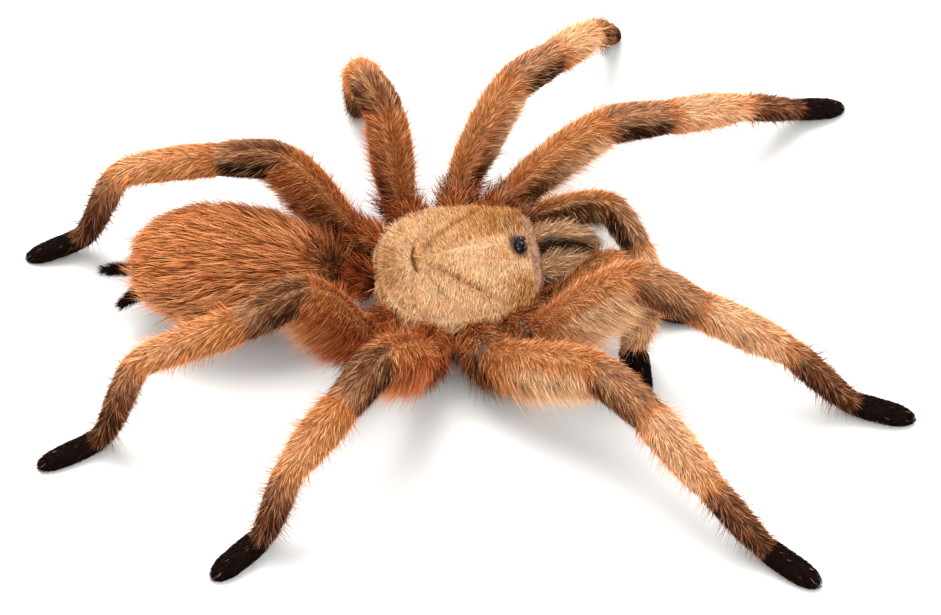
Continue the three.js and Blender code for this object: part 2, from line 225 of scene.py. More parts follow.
def sided(point, side):
    """A point of the left side moved to the named side."""
    return np.array([point[0], SIDES[side] * point[1], point[2]], float)


def heading(pitch, yaw):
    """Unit vector at a pitch above the level and a yaw from +X, in degrees: cos pitch times cos yaw, cos
    pitch times sin yaw, and sin pitch."""
    rise, turn = math.radians(pitch), math.radians(yaw)
    return np.array([math.cos(rise) * math.cos(turn), math.cos(rise) * math.sin(turn), math.sin(rise)])


def parabola(three, t):
    """The parabola through the first, middle and last value at t = 0, 1/2 and 1."""
    start, middle, end = three
    return start * (1 - t) * (1 - 2 * t) + 4 * middle * t * (1 - t) + end * t * (2 * t - 1)


def tip_rounding(t, start, closing):
    """Share of a tube's girth at t: the root of 1 - closing * reach squared, past the start of the tip."""
    reach = np.maximum(0, (t - start) / (1 - start))
    return np.sqrt(1 - closing * reach**2)


def bezier(points, t):
    """Points and directions of a cubic Bezier curve at t: its four points are weighted by the terms of
    (1 - t) + t cubed, and the gaps between them by the terms of its square."""
    a, b, c, d = (np.asarray(p, float) for p in points)
    s = t[:, None]
    spot = a * (1 - s) ** 3 + 3 * b * s * (1 - s) ** 2 + 3 * c * s**2 * (1 - s) + d * s**3
    along = (b - a) * (1 - s) ** 2 + 2 * (c - b) * s * (1 - s) + (d - c) * s**2
    return spot, unit(along)


def between(x, knots, values):
    """Values at x on straight lines between the knots: plain numbers, or rows of three."""
    if values.ndim == 1:
        return np.interp(x, knots, values)
    return np.stack([np.interp(x, knots, column) for column in values.T], axis=1)


def grid(a, b):
    """Each value of a with each of b, as two flat arrays in which b runs faster."""
    return tuple(side.ravel() for side in np.meshgrid(a, b, indexing="ij"))


def smooth(low, high, x):
    """0 below low, 1 above high, and three squares less two cubes of the way between."""
    t = np.clip((x - low) / (high - low), 0, 1)
    return t * t * (3 - 2 * t)


def ripple(points, size, seed):
    """Smooth noise from -1 to 1: the mean of sines of the place along fixed directions, about size across."""
    rng = np.random.default_rng(seed)
    waves = unit(rng.normal(size=(7, 3))) * (2 * math.pi / size) * rng.uniform(0.7, 1.5, (7, 1))
    return np.sin(points @ waves.T + rng.uniform(0, 2 * math.pi, 7)).mean(axis=1) * 1.9


# ---- The body as tubes ----------------------------------------------------------------------


class Surface:
    """A closed surface of the body. u runs from one of its ends to the other and v once round it."""

    def at(self, values, u):
        """A station value at share u of the way, between its stations."""
        return between(u, np.linspace(0, 1, len(values)), values)

    def slopes(self, u, v, least=0.0, step=1e-3):
        """How its point moves for a unit of u and of v: the gap between two points a step to each side."""
        low, high = np.clip(u - step, least, 1), np.clip(u + step, least, 1)
        du = (self.point(high, v) - self.point(low, v)) / (high - low)[:, None]
        dv = (self.point(u, v + step) - self.point(u, v - step)) / (2 * step)
        return du, dv


class Tube(Surface):
    """A bent tube. Its stations hold a mark along it, its centre, two cross axes and half girths with the
    coat on. bare is the share of the half girths at the skin: 1 less the coat's depth over their mean."""

    def __init__(self, name, region, mark, centre, across, upward, half_width, half_height, depth):
        self.name, self.region, self.mark, self.centre = name, region, mark, centre
        self.across, self.upward = across, upward
        self.half_width, self.half_height = half_width, half_height
        broad = np.maximum((half_width + half_height) / 2, SLENDER_SHARE * np.max(half_width))
        self.bare = 1 - np.broadcast_to(depth, mark.shape) / broad

    def point(self, u, v):
        """Skin at share u along and v of the turn round, from the top: centre + half height * cos(turn) *
        upward + half width * sin(turn) * across, with both halves at their bare share."""
        turn, bare = 2 * math.pi * v, self.at(self.bare, u)
        rise = self.at(self.half_height, u) * bare * np.cos(turn)
        reach = self.at(self.half_width, u) * bare * np.sin(turn)
        raised = self.at(self.centre, u) + rise[:, None] * self.at(self.upward, u)
        return raised + reach[:, None] * self.at(self.across, u)

    def downward(self, u):
        """Unit vector square to the tube that points to its underside."""
        return -self.at(self.upward, u)

    def axes(self, u, v):
        """Unit vectors along, round and out of the surface, and the area of a unit of u and v, which is the
        length of the slopes' cross product."""
        du, dv = self.slopes(u, v)
        cross = np.cross(dv, du)
        outward = self.point(u, v) - self.at(self.centre, u)
        cross *= np.sign((cross * outward).sum(axis=1))[:, None]
        along, normal = unit(du), unit(cross)
        return along, unit(np.cross(normal, along)), normal, np.linalg.norm(cross, axis=1)


def table(name, region, mark, centre, along, across, width, height, depth):
    """A tube from its centre line: across is made square to the line, and upward square to both."""
    level = unit(across - (across * along).sum(axis=1)[:, None] * along)
    return Tube(name, region, mark, centre, level, np.cross(along, level), width / 2, height / 2, depth)


def by_kind(values, mark):
    """A value at a mark along a limb, from one for each kind of segment or from two for its start and end,
    blended over the joints."""
    return np.interp(mark, KNOTS, np.repeat(values, len(KNOTS) // len(values)))


def foot_slope(ankle, length, girth):
    """Downward slope, in degrees, of a foot whose underside dips below the floor at its pad: the angle whose
    sine is the drop over the pad's distance, less the angle that half the girth takes up."""
    reach, half = PAD["share"] * length, girth / 2
    lean = math.asin((ankle + PAD["dip"]) / math.hypot(reach, half))
    return math.degrees(lean - math.atan2(half, reach))


def limb_name(side, kind):
    """A limb's name, as its solids' nodes begin."""
    return f"palp_{side}" if kind == "palp" else f"leg_{side}_{kind}"


def limb_tube(side, kind, steps=28):
    """A leg or palp from under the body to its tip: each segment is a Bezier curve that turns into its
    neighbours' directions at its joints, and its girths are parabolas through three sizes."""
    sizes = GIRTHS[{"palp": "palp", "4": "hind"}.get(kind, "leg")]
    sign = SIDES[side]
    x, y = HIPS[kind]
    share = COXA["root_share"]
    root = np.array([x * share, sign * y * share, COXA["root_level"]])
    joints = [root, np.array([x, sign * y, HIP_HEIGHT])]
    headings = [unit(joints[1] - joints[0])]
    acrosses = [unit(np.cross(UP, headings[0]))]
    stance, lengths = STANCE[side][kind], SEGMENT_LENGTHS[kind]
    pad_girth = parabola(sizes["height"][-3:], PAD["share"]) * tip_rounding(PAD["share"], **FOOT_TIP)
    for length, yaw, pitch in zip(lengths, stance["yaw"], stance["pitch"] + (None,)):
        ankle = joints[-1][2]
        rise = -foot_slope(ankle, length, pad_girth) if pitch is None else pitch
        headings.append(heading(rise, sign * yaw))
        acrosses.append(heading(0, sign * yaw + 90))
        joints.append(joints[-1] + length * headings[-1])
    count = len(headings)
    parts = []
    for i in range(count):
        t = np.linspace(0, 1, steps, endpoint=i == count - 1)
        leaving, arriving, across_start, across_end = (
            unit(v[max(k - 1, 0)] + v[min(k, count - 1)]) for v in (headings, acrosses) for k in (i, i + 1)
        )
        start, end = joints[i], joints[i + 1]
        handle = JOINT_TURN * np.linalg.norm(end - start)
        centre, along = bezier((start, start + leaving * handle, end - arriving * handle, end), t)
        across = across_start * (1 - t)[:, None] + across_end * t[:, None]
        rounding = tip_rounding(t, **FOOT_TIP) if i == count - 1 else 1.0
        width, height = (parabola(sizes[k][2 * i : 2 * i + 3], t) * rounding for k in ("width", "height"))
        kind_mark = len(KINDS) - 1 if i == count - 1 else i
        parts.append((kind_mark + t, centre, along, across, width, height))
    mark, centre, along, across, width, height = (np.concatenate(p) for p in zip(*parts))
    depth = by_kind(COAT_DEPTH, mark)
    return table(limb_name(side, kind), "limb", mark, centre, along, across, width, height, depth)


def egg_tube(name, region, middle, axis, length, width, height, swell, depth, steps=60):
    """An egg as a tube: half girths are the sine of the way from its front pole to its rear pole, fuller
    behind by swell. The skin is shorter by the coat's depth, and slimmer by its share of the half girth."""
    way = np.linspace(0, math.pi, steps)
    fore = np.cos(way)
    full = np.sin(way) * (1 - swell * fore)
    along = np.tile(-axis, (steps, 1))
    centre = np.asarray(middle, float) + fore[:, None] * (length / 2 - depth) * axis
    across = np.tile(unit(np.cross(UP, along[0])), (steps, 1))
    made = table(name, region, way / math.pi, centre, along, across, width * full, height * full, 0.0)
    made.bare = np.full(steps, 1 - 4 * depth / (width + height))
    return made


def body_tubes():
    """All tubes of flesh: ten limbs, breastplate, waist, abdomen, jaw bases and spinnerets."""
    tubes = [limb_tube(side, kind) for side, kind in LEGS + PALPS]
    sizes = (ABDOMEN[key] for key in ("length", "width", "height", "swell"))
    axis = heading(0, ABDOMEN["skew"])
    tubes.append(egg_tube("abdomen", "abdomen", ABDOMEN["middle"], axis, *sizes, BODY_COAT["abdomen"]))
    middle = (STERNUM["middle"], 0.0, STERNUM["level"])
    sizes = (STERNUM["length"], STERNUM["width"], 2 * STERNUM["depth"], 0.0)
    tubes.append(egg_tube("sternum", "underside", middle, FORWARD, *sizes, BODY_COAT["sternum"]))
    t = np.linspace(0, 1, 40)
    depth = BODY_COAT["jaw_root"] - BODY_COAT["jaw_loss"] * smooth(0.1, 0.4, t)
    for side in SIDES:
        line, along = bezier([sided(p, side) for p in CHELICERA["path"]], t)
        share = parabola(CHELICERA["taper"], t) * tip_rounding(t, **JAW_TIP)
        width, height = CHELICERA["width"] * share, CHELICERA["height"] * share
        across = np.cross(UP, along)
        tubes.append(table(f"chelicera_{side}", "jaw", t, line, along, across, width, height, depth))
    tail = parabola(SPINNERET_GIRTH, t) * tip_rounding(t, **SPINNERET_TIP)
    waist = np.full(len(t), PEDICEL["width"]), np.full(len(t), PEDICEL["height"])
    slender = [("pedicel", "waist", PEDICEL, waist)]
    slender += [(f"spinneret_{side}", "spinneret", ends, (tail, tail)) for side, ends in SPINNERETS.items()]
    for name, region, ends, girths in slender:
        start, end = np.array(ends["from"]), np.array(ends["to"])
        line = start + t[:, None] * (end - start)
        along = np.tile(unit(end - start), (len(t), 1))
        across = np.cross(UP, along)
        tubes.append(table(name, region, t, line, along, across, *girths, BODY_COAT["slender"]))
    return {tube.name: tube for tube in tubes}


TUBES = body_tubes()


# ---- Settings: sizes and colours that a user may change -------------------------------------


def colour(name, description, hex_value):
    """A colour setting whose default is an sRGB hex value."""
    return FloatVectorProperty(
        name=name, description=description, subtype="COLOR", size=3, min=0, max=1, default=linear(hex_value),
    )


def millimetres(name, description, value):
    """A length setting, in metres, whose default is given in millimetres."""
    return FloatProperty(
        name=name, description=description, unit="LENGTH", subtype="DISTANCE", min=0, default=value * MM,
    )


class TarantulaColours(bpy.types.PropertyGroup):
    """Colours of the coat, shell and horn."""

    peach: colour("Peach", "Palest orange hair, on the flanks and fringes of the front femora", "F4BE90")
    apricot: colour("Apricot", "Lightest orange hair, on top of the tibiae", "E9A573")
    amber: colour("Amber", "Light orange hair of the tibiae and of the front femora", "D3884E")
    orange: colour("Orange", "Orange hair of the front femora and of the abdomen", "C06E35")
    rust: colour("Rust", "Deep orange hair of the hind femora", "A84F1F")
    ember: colour("Ember", "Red-orange hair round the bases of the hind legs", "B64C17")
    tan: colour("Tan", "Dull tan hair on top of the knees and jaws", "A87350")
    brown: colour("Brown", "Mid-brown hair of the knees and of the metatarsi's bases", "704329")
    # Umber also paints shade on the carapace: on its far flank, on the front face of its rim and under its
    # edge.
    umber: colour("Umber", "Dark brown hair of the metatarsi and knees", "44271A")
    # Soot also paints shade on the faces of limbs and jaws that look to the midline.
    soot: colour("Soot", "Black-brown hair of the feet and of the inner faces", "180C07")
    # Cream also paints the sheen on the bright tips of hairs.
    cream: colour("Cream", "Pale hair of the stripes and of the longest setae", "EDBF90")
    gold: colour("Gold", "Golden pile of the carapace", "DCAF80")
    # Bronze also paints the shade on the carapace's far flank and, in part, in its grooves.
    bronze: colour("Bronze", "Browner pile on the carapace's flanks and grooves", "A6641F")
    rose: colour("Rose", "Bare pinkish-grey cuticle of the front rim and of the joints", "84645A")


class TarantulaSizes(bpy.types.PropertyGroup):
    """Sizes of the skin's mesh and of the coat."""

    voxel: millimetres("Skin grain", "Size of the squares that the skin's surface is joined from", 0.34)
    density: FloatProperty(
        name="Density", description="Share of the full number of hairs", subtype="FACTOR", default=1.0,
        min=0.02, max=1.0,
    )
    seed: IntProperty(
        name="Seed", description="Start of the random numbers that place the hairs", default=7, min=0,
    )


def colours():
    """The colour settings as arrays, by name."""
    group = bpy.context.scene.tarantula_colours
    return {name: np.array(getattr(group, name)) for name in TarantulaColours.__annotations__}


def mixed(a, b, share):
    """Rows of colour a turned towards colour b by a share for each row: a times what is left of 1, plus b
    times the share."""
    share = np.asarray(share, float)[:, None]
    return a * (1 - share) + b * share


def painted(base, paint, *coats):
    """Rows of colour with one coat after another laid over them, each a colour's name and its shares."""
    for name, share in coats:
        base = mixed(base, paint[name], share)
    return base


# ---- Markings, shared by the skin and the coat ----------------------------------------------

# Colours along a limb: the mark, then the hair on top, at the sides and below.
FRONT_MARKS = (
    (0.0, "umber", "umber", "soot"),
    (0.6, "rust", "rust", "soot"),
    (0.85, "tan", "brown", "soot"),
    (1.03, "brown", "brown", "soot"),
    (1.12, "orange", "orange", "umber"),
    (1.24, "orange", "amber", "apricot"),
    (1.45, "amber", "peach", "peach"),
    (1.85, "amber", "peach", "peach"),
    (1.97, "orange", "rust", "orange"),
    (2.08, "tan", "brown", "umber"),
    (2.5, "tan", "brown", "soot"),
    (2.85, "tan", "brown", "umber"),
    (3.0, "orange", "orange", "orange"),
    (3.2, "peach", "apricot", "amber"),
    (3.84, "apricot", "peach", "apricot"),
    (3.98, "orange", "orange", "rust"),
    (4.08, "tan", "tan", "umber"),
    (4.2, "brown", "umber", "umber"),
    (4.48, "brown", "umber", "soot"),
    (4.85, "umber", "umber", "soot"),
    (5.02, "brown", "umber", "soot"),
    (5.14, "soot", "soot", "soot"),
    (6.0, "soot", "soot", "soot"),
)
HIND_MARKS = (
    (0.0, "umber", "umber", "soot"),
    (0.6, "rust", "ember", "soot"),
    (1.02, "rust", "ember", "umber"),
    (1.14, "rust", "ember", "ember"),
    (1.3, "orange", "ember", "ember"),
    (1.6, "orange", "rust", "amber"),
    (1.9, "orange", "rust", "amber"),
    (2.03, "brown", "rust", "rust"),
    (2.12, "brown", "umber", "umber"),
    (2.5, "brown", "umber", "soot"),
    (2.85, "tan", "brown", "umber"),
    (3.0, "orange", "orange", "orange"),
    (3.25, "amber", "amber", "amber"),
    (3.8, "apricot", "amber", "apricot"),
    (4.0, "amber", "amber", "orange"),
    (4.15, "tan", "tan", "tan"),
    (4.38, "brown", "brown", "umber"),
    (4.6, "umber", "umber", "umber"),
    (4.9, "umber", "umber", "soot"),
    (5.05, "brown", "umber", "soot"),
    (5.18, "soot", "soot", "soot"),
    (6.0, "soot", "soot", "soot"),
)
HIND = ("3", "4")
# Two pale stripes run along the back of each limb: degrees from the top, width and strength for each kind
# of segment.
STRIPE_TURN = 24.0
STRIPE_WIDTH = 6.0
STRIPES = (0.0, 0.55, 0.35, 0.25, 0.12, 0.0)
# Share of black on the face that looks to the midline, by mark, on the legs and on the palps: dark hair, and
# painted shade too, as on the far legs this face turns away from the light.
INNER_MARKS = (
    (1.0, 0.95), (1.3, 0.85), (1.6, 0.3), (1.8, 0.1), (2.05, 0.0), (2.5, 0.15), (2.8, 0.3), (3.0, 0.0),
    (6.0, 0.0),
)
PALP_INNER_MARKS = ((1.0, 0.95), (1.9, 0.8), (2.0, 0.5), (2.15, 0.9), (2.85, 0.9), (3.0, 0.1), (6.0, 0.0))
# How much less a palp's surface has to face the midline to be black.
PALP_EASE = 0.15
# The black patch on a knee, dark hair and painted shade on its lower face towards the midline, and the bare
# crescent on top of a femur's base: mark and half length.
KNEE_PATCH = {"middle": 2.5, "half": 0.4, "share": 0.85}
CRESCENT = {"middle": 0.98, "half": 0.075, "bend": 0.04}


def to_midline(surface):
    """The sign of Y on the way from a paired part to the midline: -1 on the left and 1 on the right."""
    return -1 if "left" in surface.name else 1


def midline_facing(surface, u, turn):
    """How far a limb's surface faces the midline: cos(turn) * upward + sin(turn) * across, of which the part
    across the body is taken."""
    rise = np.cos(turn) * surface.at(surface.upward, u)[:, 1]
    reach = np.sin(turn) * surface.at(surface.across, u)[:, 1]
    return (rise + reach) * to_midline(surface)


def bareness(surface, u, turn):
    """Share of bare skin on a limb: a crescent on top of the femur's base, exp of minus the fourth power of
    the distance from its line over its half length. The last pair of legs has none."""
    if surface.name.endswith("4"):
        return np.zeros(len(u))
    mark = surface.at(surface.mark, u)
    off = (mark - CRESCENT["middle"] - CRESCENT["bend"] * np.cos(3 * turn)) / CRESCENT["half"]
    return np.exp(-(off**4)) * smooth(0.0, 0.4, np.cos(turn))


def limb_marks(paint, surface, u, turn, points):
    """Colour on a limb: the tables above, read at the mark along it and at the turn round it from the top, in
    radians. Over them lie black on the face that looks to the midline and in a patch on the knee, which is
    dark hair and painted shade, orange tufts at the base, a darker inner face on the palps, dark hair and
    painted shade too, and two pale stripes on the back."""
    mark = surface.at(surface.mark, u)
    palp = surface.name.startswith("palp")
    rows = HIND_MARKS if surface.name.endswith(HIND) else FRONT_MARKS
    knots = np.array([row[0] for row in rows])
    wander = mark + 0.05 * ripple(points, size=1.6, seed=3)
    top, side, below = (
        between(wander, knots, np.array([paint[row[column]] for row in rows])) for column in (1, 2, 3)
    )
    up = np.cos(turn)
    base = mixed(mixed(below, side, smooth(-0.85, -0.45, up)), top, smooth(0.2, 0.75, up))
    inner = midline_facing(surface, u, turn)
    share = np.array(PALP_INNER_MARKS if palp else INNER_MARKS)
    ease = PALP_EASE if palp else 0.0
    # Black on the face towards the midline and on the knee below it: dark hair, and painted shade where this
    # face turns from the light.
    black = np.interp(wander, *share.T) * smooth(0.2 - ease, 0.6 - ease, inner)
    black *= smooth(-1.0 - ease, -0.5 - ease, -up)
    knee = np.exp(-(((mark - KNEE_PATCH["middle"]) / KNEE_PATCH["half"]) ** 6)) * smooth(0.0, 0.5, inner)
    knee *= smooth(-0.8, -0.35, -up)
    tufts = 0.5 + 0.5 * np.clip(2.5 * ripple(points, size=1.3, seed=31), -1, 1)
    coats = [
        ("soot", np.maximum(black, KNEE_PATCH["share"] * knee)),
        ("orange", 0.5 * tufts * (1 - smooth(1.0, 1.2, mark))),
    ]
    if palp:
        # The palp's darker inner face: dark hair, and painted shade as well.
        coats.append(("umber", 0.6 * (1 - smooth(1.8, 2.1, mark)) * smooth(-0.5, 0.3, inner)))
    off = (np.abs(np.degrees(turn)) - STRIPE_TURN) / STRIPE_WIDTH
    coats.append(("apricot", by_kind(STRIPES, mark) * np.exp(-(off**2))))
    return painted(base, paint, *coats)


def abdomen_marks(paint, surface, u, turn, points):
    """Colour on the abdomen: orange, paler on the flanks, and darker towards the waist, round the spinnerets
    and below."""
    flank = smooth(-0.6, 0.3, -np.cos(turn)) * smooth(0.2, 0.5, u)
    patchy = 0.5 + 0.3 * flank + 0.3 * ripple(points, size=3.0, seed=5)
    return painted(
        mixed(paint["rust"], paint["amber"], patchy),
        paint,
        ("apricot", 0.5 * flank),
        ("umber", 0.85 * (1 - smooth(0.06, 0.26, u))),
        ("umber", 0.8 * smooth(0.8, 0.97, u)),
        ("umber", 0.5 * smooth(0.6, 1.0, -np.cos(turn))),
    )


def jaw_marks(paint, surface, u, turn, points):
    """Colour on a jaw base: dull tan with darker lengthways streaks, a black inner side, which is dark hair
    and painted shade of the gap between the jaws, a pale back and a reddish fringe at its end."""
    streak = 0.5 + 0.5 * np.sin(7 * turn + 1.5 * ripple(points, size=2.0, seed=9))
    inner = np.sin(turn) * to_midline(surface)
    return painted(
        paint["tan"],
        paint,
        ("umber", 0.75 * streak * smooth(0.1, 0.4, u)),
        # Black on the inner side: dark hair, and painted shade of the gap between the jaws.
        ("soot", 0.85 * smooth(0.2, 0.8, inner)),
        ("cream", 0.45 * smooth(0.3, 0.9, np.cos(turn) - 0.5 * inner)),
        ("rust", 0.7 * smooth(0.75, 0.95, u)),
    )


def plain_marks(name, second, share):
    """Marks of one colour, unevenly mixed with a mean share of a second one."""

    def marks(paint, surface, u, turn, points):
        """Colour at each point, whatever its place along and round."""
        return mixed(paint[name], paint[second], share + share * ripple(points, size=1.6, seed=11))

    return marks


MARKS = {
    "limb": limb_marks,
    "abdomen": abdomen_marks,
    "jaw": jaw_marks,
    "waist": plain_marks("umber", "ember", 0.35),
    "underside": plain_marks("soot", "brown", 0.25),
    "spinneret": plain_marks("soot", "umber", 0.1),
}


# ---- Meshes and materials -------------------------------------------------------------------


def mesh_object(name, points, faces, smooth_faces=True):
    """A mesh object from points in millimetres in the animal's frame and an array of equal-sided faces."""
    if not len(faces):
        raise RuntimeError(f"{name} has no faces")
    mesh = bpy.data.meshes.new(name)
    count, corners = faces.shape
    mesh.vertices.add(len(points))
    mesh.vertices.foreach_set("co", place(points).astype(np.float32).ravel())
    mesh.loops.add(count * corners)
    mesh.loops.foreach_set("vertex_index", faces.astype(np.int32).ravel())
    mesh.polygons.add(count)
    mesh.polygons.foreach_set("loop_start", np.arange(0, count * corners, corners, dtype=np.int32))
    mesh.polygons.foreach_set("use_smooth", np.full(count, smooth_faces))
    mesh.update(calc_edges=True)
    made = bpy.data.objects.new(name, mesh)
    bpy.context.scene.collection.objects.link(made)
    return made


def paint_points(mesh, colour_rows):
    """Writes one colour for each vertex into the attribute tint."""
    attribute = mesh.color_attributes.new("tint", "FLOAT_COLOR", "POINT")
    rows = np.ones((len(mesh.vertices), 4), np.float32)
    rows[:, :3] = np.clip(colour_rows, 0, 1)
    attribute.data.foreach_set("color", rows.ravel())


def closed_grid(rings, around):
    """Triangles of a closed surface from rings of points: two for each square between neighbouring rings,
    and a fan at each end round a pole. The poles are the two points after the rings."""
    i, j = np.meshgrid(np.arange(rings - 1), np.arange(around), indexing="ij")
    k = (j + 1) % around
    corners = (i * around + j, i * around + k, (i + 1) * around + k, (i + 1) * around + j)
    walls = np.stack(corners, axis=-1).reshape(-1, 4)
    j, k = j[0], k[0]
    pole, last = rings * around, (rings - 1) * around
    low = np.stack([np.full(around, pole), k, j], axis=1)
    high = np.stack([np.full(around, pole + 1), last + j, last + k], axis=1)
    return np.concatenate([walls[:, [0, 1, 2]], walls[:, [0, 2, 3]], low, high])


def tube_mesh(tube, rings, around):
    """Points and triangles of a tube's closed skin."""
    points = tube.point(*grid(np.linspace(0, 1, rings), np.arange(around) / around))
    poles = tube.at(tube.centre, np.array([0.0, 1.0]))
    return np.concatenate([points, poles]), closed_grid(rings, around)


def add(tree, kind, inputs=None, **settings):
    """Adds a node with its settings; inputs hold values, or the outputs that feed them."""
    node = tree.nodes.new(kind)
    for name, value in settings.items():
        setattr(node, name, value)
    for name, value in (inputs or {}).items():
        if isinstance(value, bpy.types.NodeSocket):
            tree.links.new(value, node.inputs[name])
        else:
            node.inputs[name].default_value = value
    return node


def material(name, **shader):
    """A material with a Principled shader whose sockets are set, and its node tree and shader."""
    made = bpy.data.materials.new(name)
    made.use_nodes = True
    tree = made.node_tree
    bsdf = tree.nodes["Principled BSDF"]
    for socket, value in shader.items():
        bsdf.inputs[socket].default_value = value
    return made, tree, bsdf


def hair_keratin():
    """Chitin setae: each hair shows its own tint and is matt, because so fine a hair scatters its shine."""
    made, tree, bsdf = material("chitin_setae", **{"Roughness": 0.75, "Specular IOR Level": 0.0})
    tint = add(tree, "ShaderNodeAttribute", attribute_name="tint", attribute_type="GEOMETRY")
    tree.links.new(tint.outputs["Color"], bsdf.inputs["Base Color"])
    return made


def grained_cuticle(name, grain, detail, shades, strength, relief, **shader):
    """Cuticle that shows its tint under a noise, which shades it from the first share to the second and
    raises it. The grain and the relief are in millimetres."""
    made, tree, bsdf = material(name, **shader)
    tint = add(tree, "ShaderNodeAttribute", attribute_name="tint", attribute_type="GEOMETRY")
    where = add(tree, "ShaderNodeTexCoord")
    pattern = {"Vector": where.outputs["Object"], "Scale": 1 / (grain * MM), "Detail": detail}
    noise = add(tree, "ShaderNodeTexNoise", pattern)
    height = noise.outputs["Fac"]
    shade = add(tree, "ShaderNodeMapRange", {"Value": height, "To Min": shades[0], "To Max": shades[1]})
    factors = {0: tint.outputs["Color"], 1: shade.outputs["Result"]}
    worn = add(tree, "ShaderNodeVectorMath", factors, operation="MULTIPLY")
    tree.links.new(worn.outputs[0], bsdf.inputs["Base Color"])
    bump = add(tree, "ShaderNodeBump", {"Height": height, "Strength": strength, "Distance": relief * MM})
    tree.links.new(bump.outputs["Normal"], bsdf.inputs["Normal"])
    return made


def skin_cuticle():
    """Soft cuticle under the coat: matt, with a fine nap of short fur 0.25 mm apart that mottles it."""
    nap = {"grain": 0.25, "detail": 4.0, "shades": (0.55, 1.35), "strength": 0.6, "relief": 0.1}
    return grained_cuticle("felted_cuticle", **nap, **{"Roughness": 0.8, "Specular IOR Level": 0.05})


def shell_cuticle():
    """Carapace shell: hard cuticle, dull where it is bare, with a fine leathery grain 0.3 mm across."""
    leather = {"grain": 0.3, "detail": 5.0, "shades": (0.7, 1.2), "strength": 0.5, "relief": 0.08}
    return grained_cuticle("carapace_cuticle", **leather, **{"Roughness": 0.6, "Specular IOR Level": 0.15})


def horn_material(name, hex_value, roughness, shine):
    """Black horn of fangs, claws, eyes and eye mound: hard and dark, and polished where roughness is low."""
    made, _, bsdf = material(name, **{"Roughness": roughness, "Specular IOR Level": shine})
    bsdf.inputs["Base Color"].default_value = (*linear(hex_value), 1)
    return made


# ---- Hair -----------------------------------------------------------------------------------


# One number, or one for each kind of segment, or two for the start and end of each kind.
Measure = float | tuple


@dataclass
class Lay:
    """How one kind of hair grows, in millimetres and degrees."""

    per_mm2: float  # hairs on a square millimetre
    length: Measure
    lift: tuple  # angles over the skin at root and at tip, two measures
    girth: float
    rings: int = 1  # rings of three points, before the tip
    lean: Measure = 0.0  # turn towards the underside at the flanks
    scatter: float = 14.0  # spread of direction
    below: Measure = 1.0  # length on the lower side as a share of that on top
    hang: Measure = 0.0  # how far hair of the lower side hangs straight down
    lock: float = 0.0  # size of its locks
    pull: float = 0.0  # pull to the middles of its locks
    root: float = 0.6  # tone at the root, as a share of the marking's
    tip: float = 1.2  # tone at the tip
    dye: tuple = ("cream", 0.0)  # second colour and its mean share
    vary: float = 0.25  # spread of tone
    share: Measure = 1.0  # share of the hairs that grow


# Places that are tried to find how a surface's area is spread, and the part of them below the limit on it.
PROBES = 4000
AREA_PERCENT = 99.5
# How deep a hair's root stands in the skin, millimetres.
ROOT_DEPTH = 0.06
# Greatest tone of a hair, as a share of the marking's.
BRIGHTEST = 1.35


def measure(value, mark):
    """A measure at each mark: one number, or the values of each kind of segment."""
    return by_kind(value, mark) if np.ndim(value) else np.full(len(mark), float(value))


def varied(value, mark, rng):
    """A measure for each hair, from three quarters to six fifths of it."""
    return measure(value, mark) * rng.uniform(0.75, 1.2, len(mark))


def spread_roots(surface, lay, rng, weight):
    """Roots at even density over a surface: random places are kept with a chance in step with the area that
    they stand for, with the weight and with the share for their kind of segment."""
    probe = rng.random((PROBES, 2))
    most = np.percentile(surface.axes(probe[:, 0], probe[:, 1])[3], AREA_PERCENT)
    tries = int(lay.per_mm2 * most * bpy.context.scene.tarantula_sizes.density)
    u, v, chance = rng.random((3, tries))
    along, around, normal, area = surface.axes(u, v)
    kept = by_kind(lay.share, surface.at(surface.mark, u)) if np.ndim(lay.share) else lay.share
    keep = chance < np.minimum(area / most, 1) * weight(u, v) * kept
    return u[keep], v[keep], along[keep], around[keep], normal[keep]


def lower_side(surface, u, turn):
    """How far a root lies on the lower side, where hair is longer and hangs: a smooth step down the flank.
    A limb has such a fringe only on the side away from the midline, and less of it on the hind legs."""
    lower = smooth(-0.3, 0.7, -np.cos(turn))
    if surface.region == "limb":
        lower *= 1 - smooth(0.1, 0.6, midline_facing(surface, u, turn))
        lower *= 0.75 if surface.name.endswith(HIND) else 1.0
    return lower


def gathered(lay, root, normal, ahead, length):
    """Comb directions drawn towards the middle of the lock that a root lies in: the middle of its cell of a
    cubic grid, moved by the sine of the cell's number."""
    cell = np.floor(root / lay.lock)
    jitter = np.sin(cell * 12.9898 + cell[:, [1, 2, 0]] * 78.233)
    aim = (cell + 0.5) * lay.lock + 0.35 * lay.lock * jitter - root
    aim -= (aim * normal).sum(axis=1)[:, None] * normal
    return unit(ahead * length[:, None] + lay.pull * aim)


def hair_points(root, ahead, normal, fall, length, lifts, girth, roll, steps):
    """Points of hairs, rings of three and a tip. A hair leaves its root at the first lift over the skin,
    turns evenly to the second, and falls by a share of straight down. A ring's radius is half the girth
    times the share of the hair beyond it, to the power 0.45."""

    def headings(at):
        """Directions at shares of the way along each hair: cos(lift) * ahead + sin(lift) * normal + fall."""
        lift = lifts[0][:, None] + (lifts[1] - lifts[0])[:, None] * at
        level, rise = np.cos(lift)[..., None] * ahead[:, None], np.sin(lift)[..., None] * normal[:, None]
        return unit(level + rise + fall)

    count = len(root)
    moves = headings((steps[1:] + steps[:-1]) / 2) * (length[:, None] * np.diff(steps))[..., None]
    line = root[:, None] + np.concatenate([np.zeros((count, 1, 3)), np.cumsum(moves, axis=1)], axis=1)
    flank = np.cross(ahead, normal)[:, None]
    back = np.cross(headings(steps[:-1]), flank)
    radius = girth[:, None] / 2 * (1 - steps[:-1]) ** 0.45
    angle = (roll[:, None] + np.array([0, 2, 4]) * math.pi / 3)[:, None, :, None]
    ring = np.cos(angle) * flank[:, :, None] + np.sin(angle) * back[:, :, None]
    ring = line[:, :-1, None] + radius[..., None, None] * ring
    return np.concatenate([ring.reshape(count, -1, 3), line[:, -1:]], axis=1)


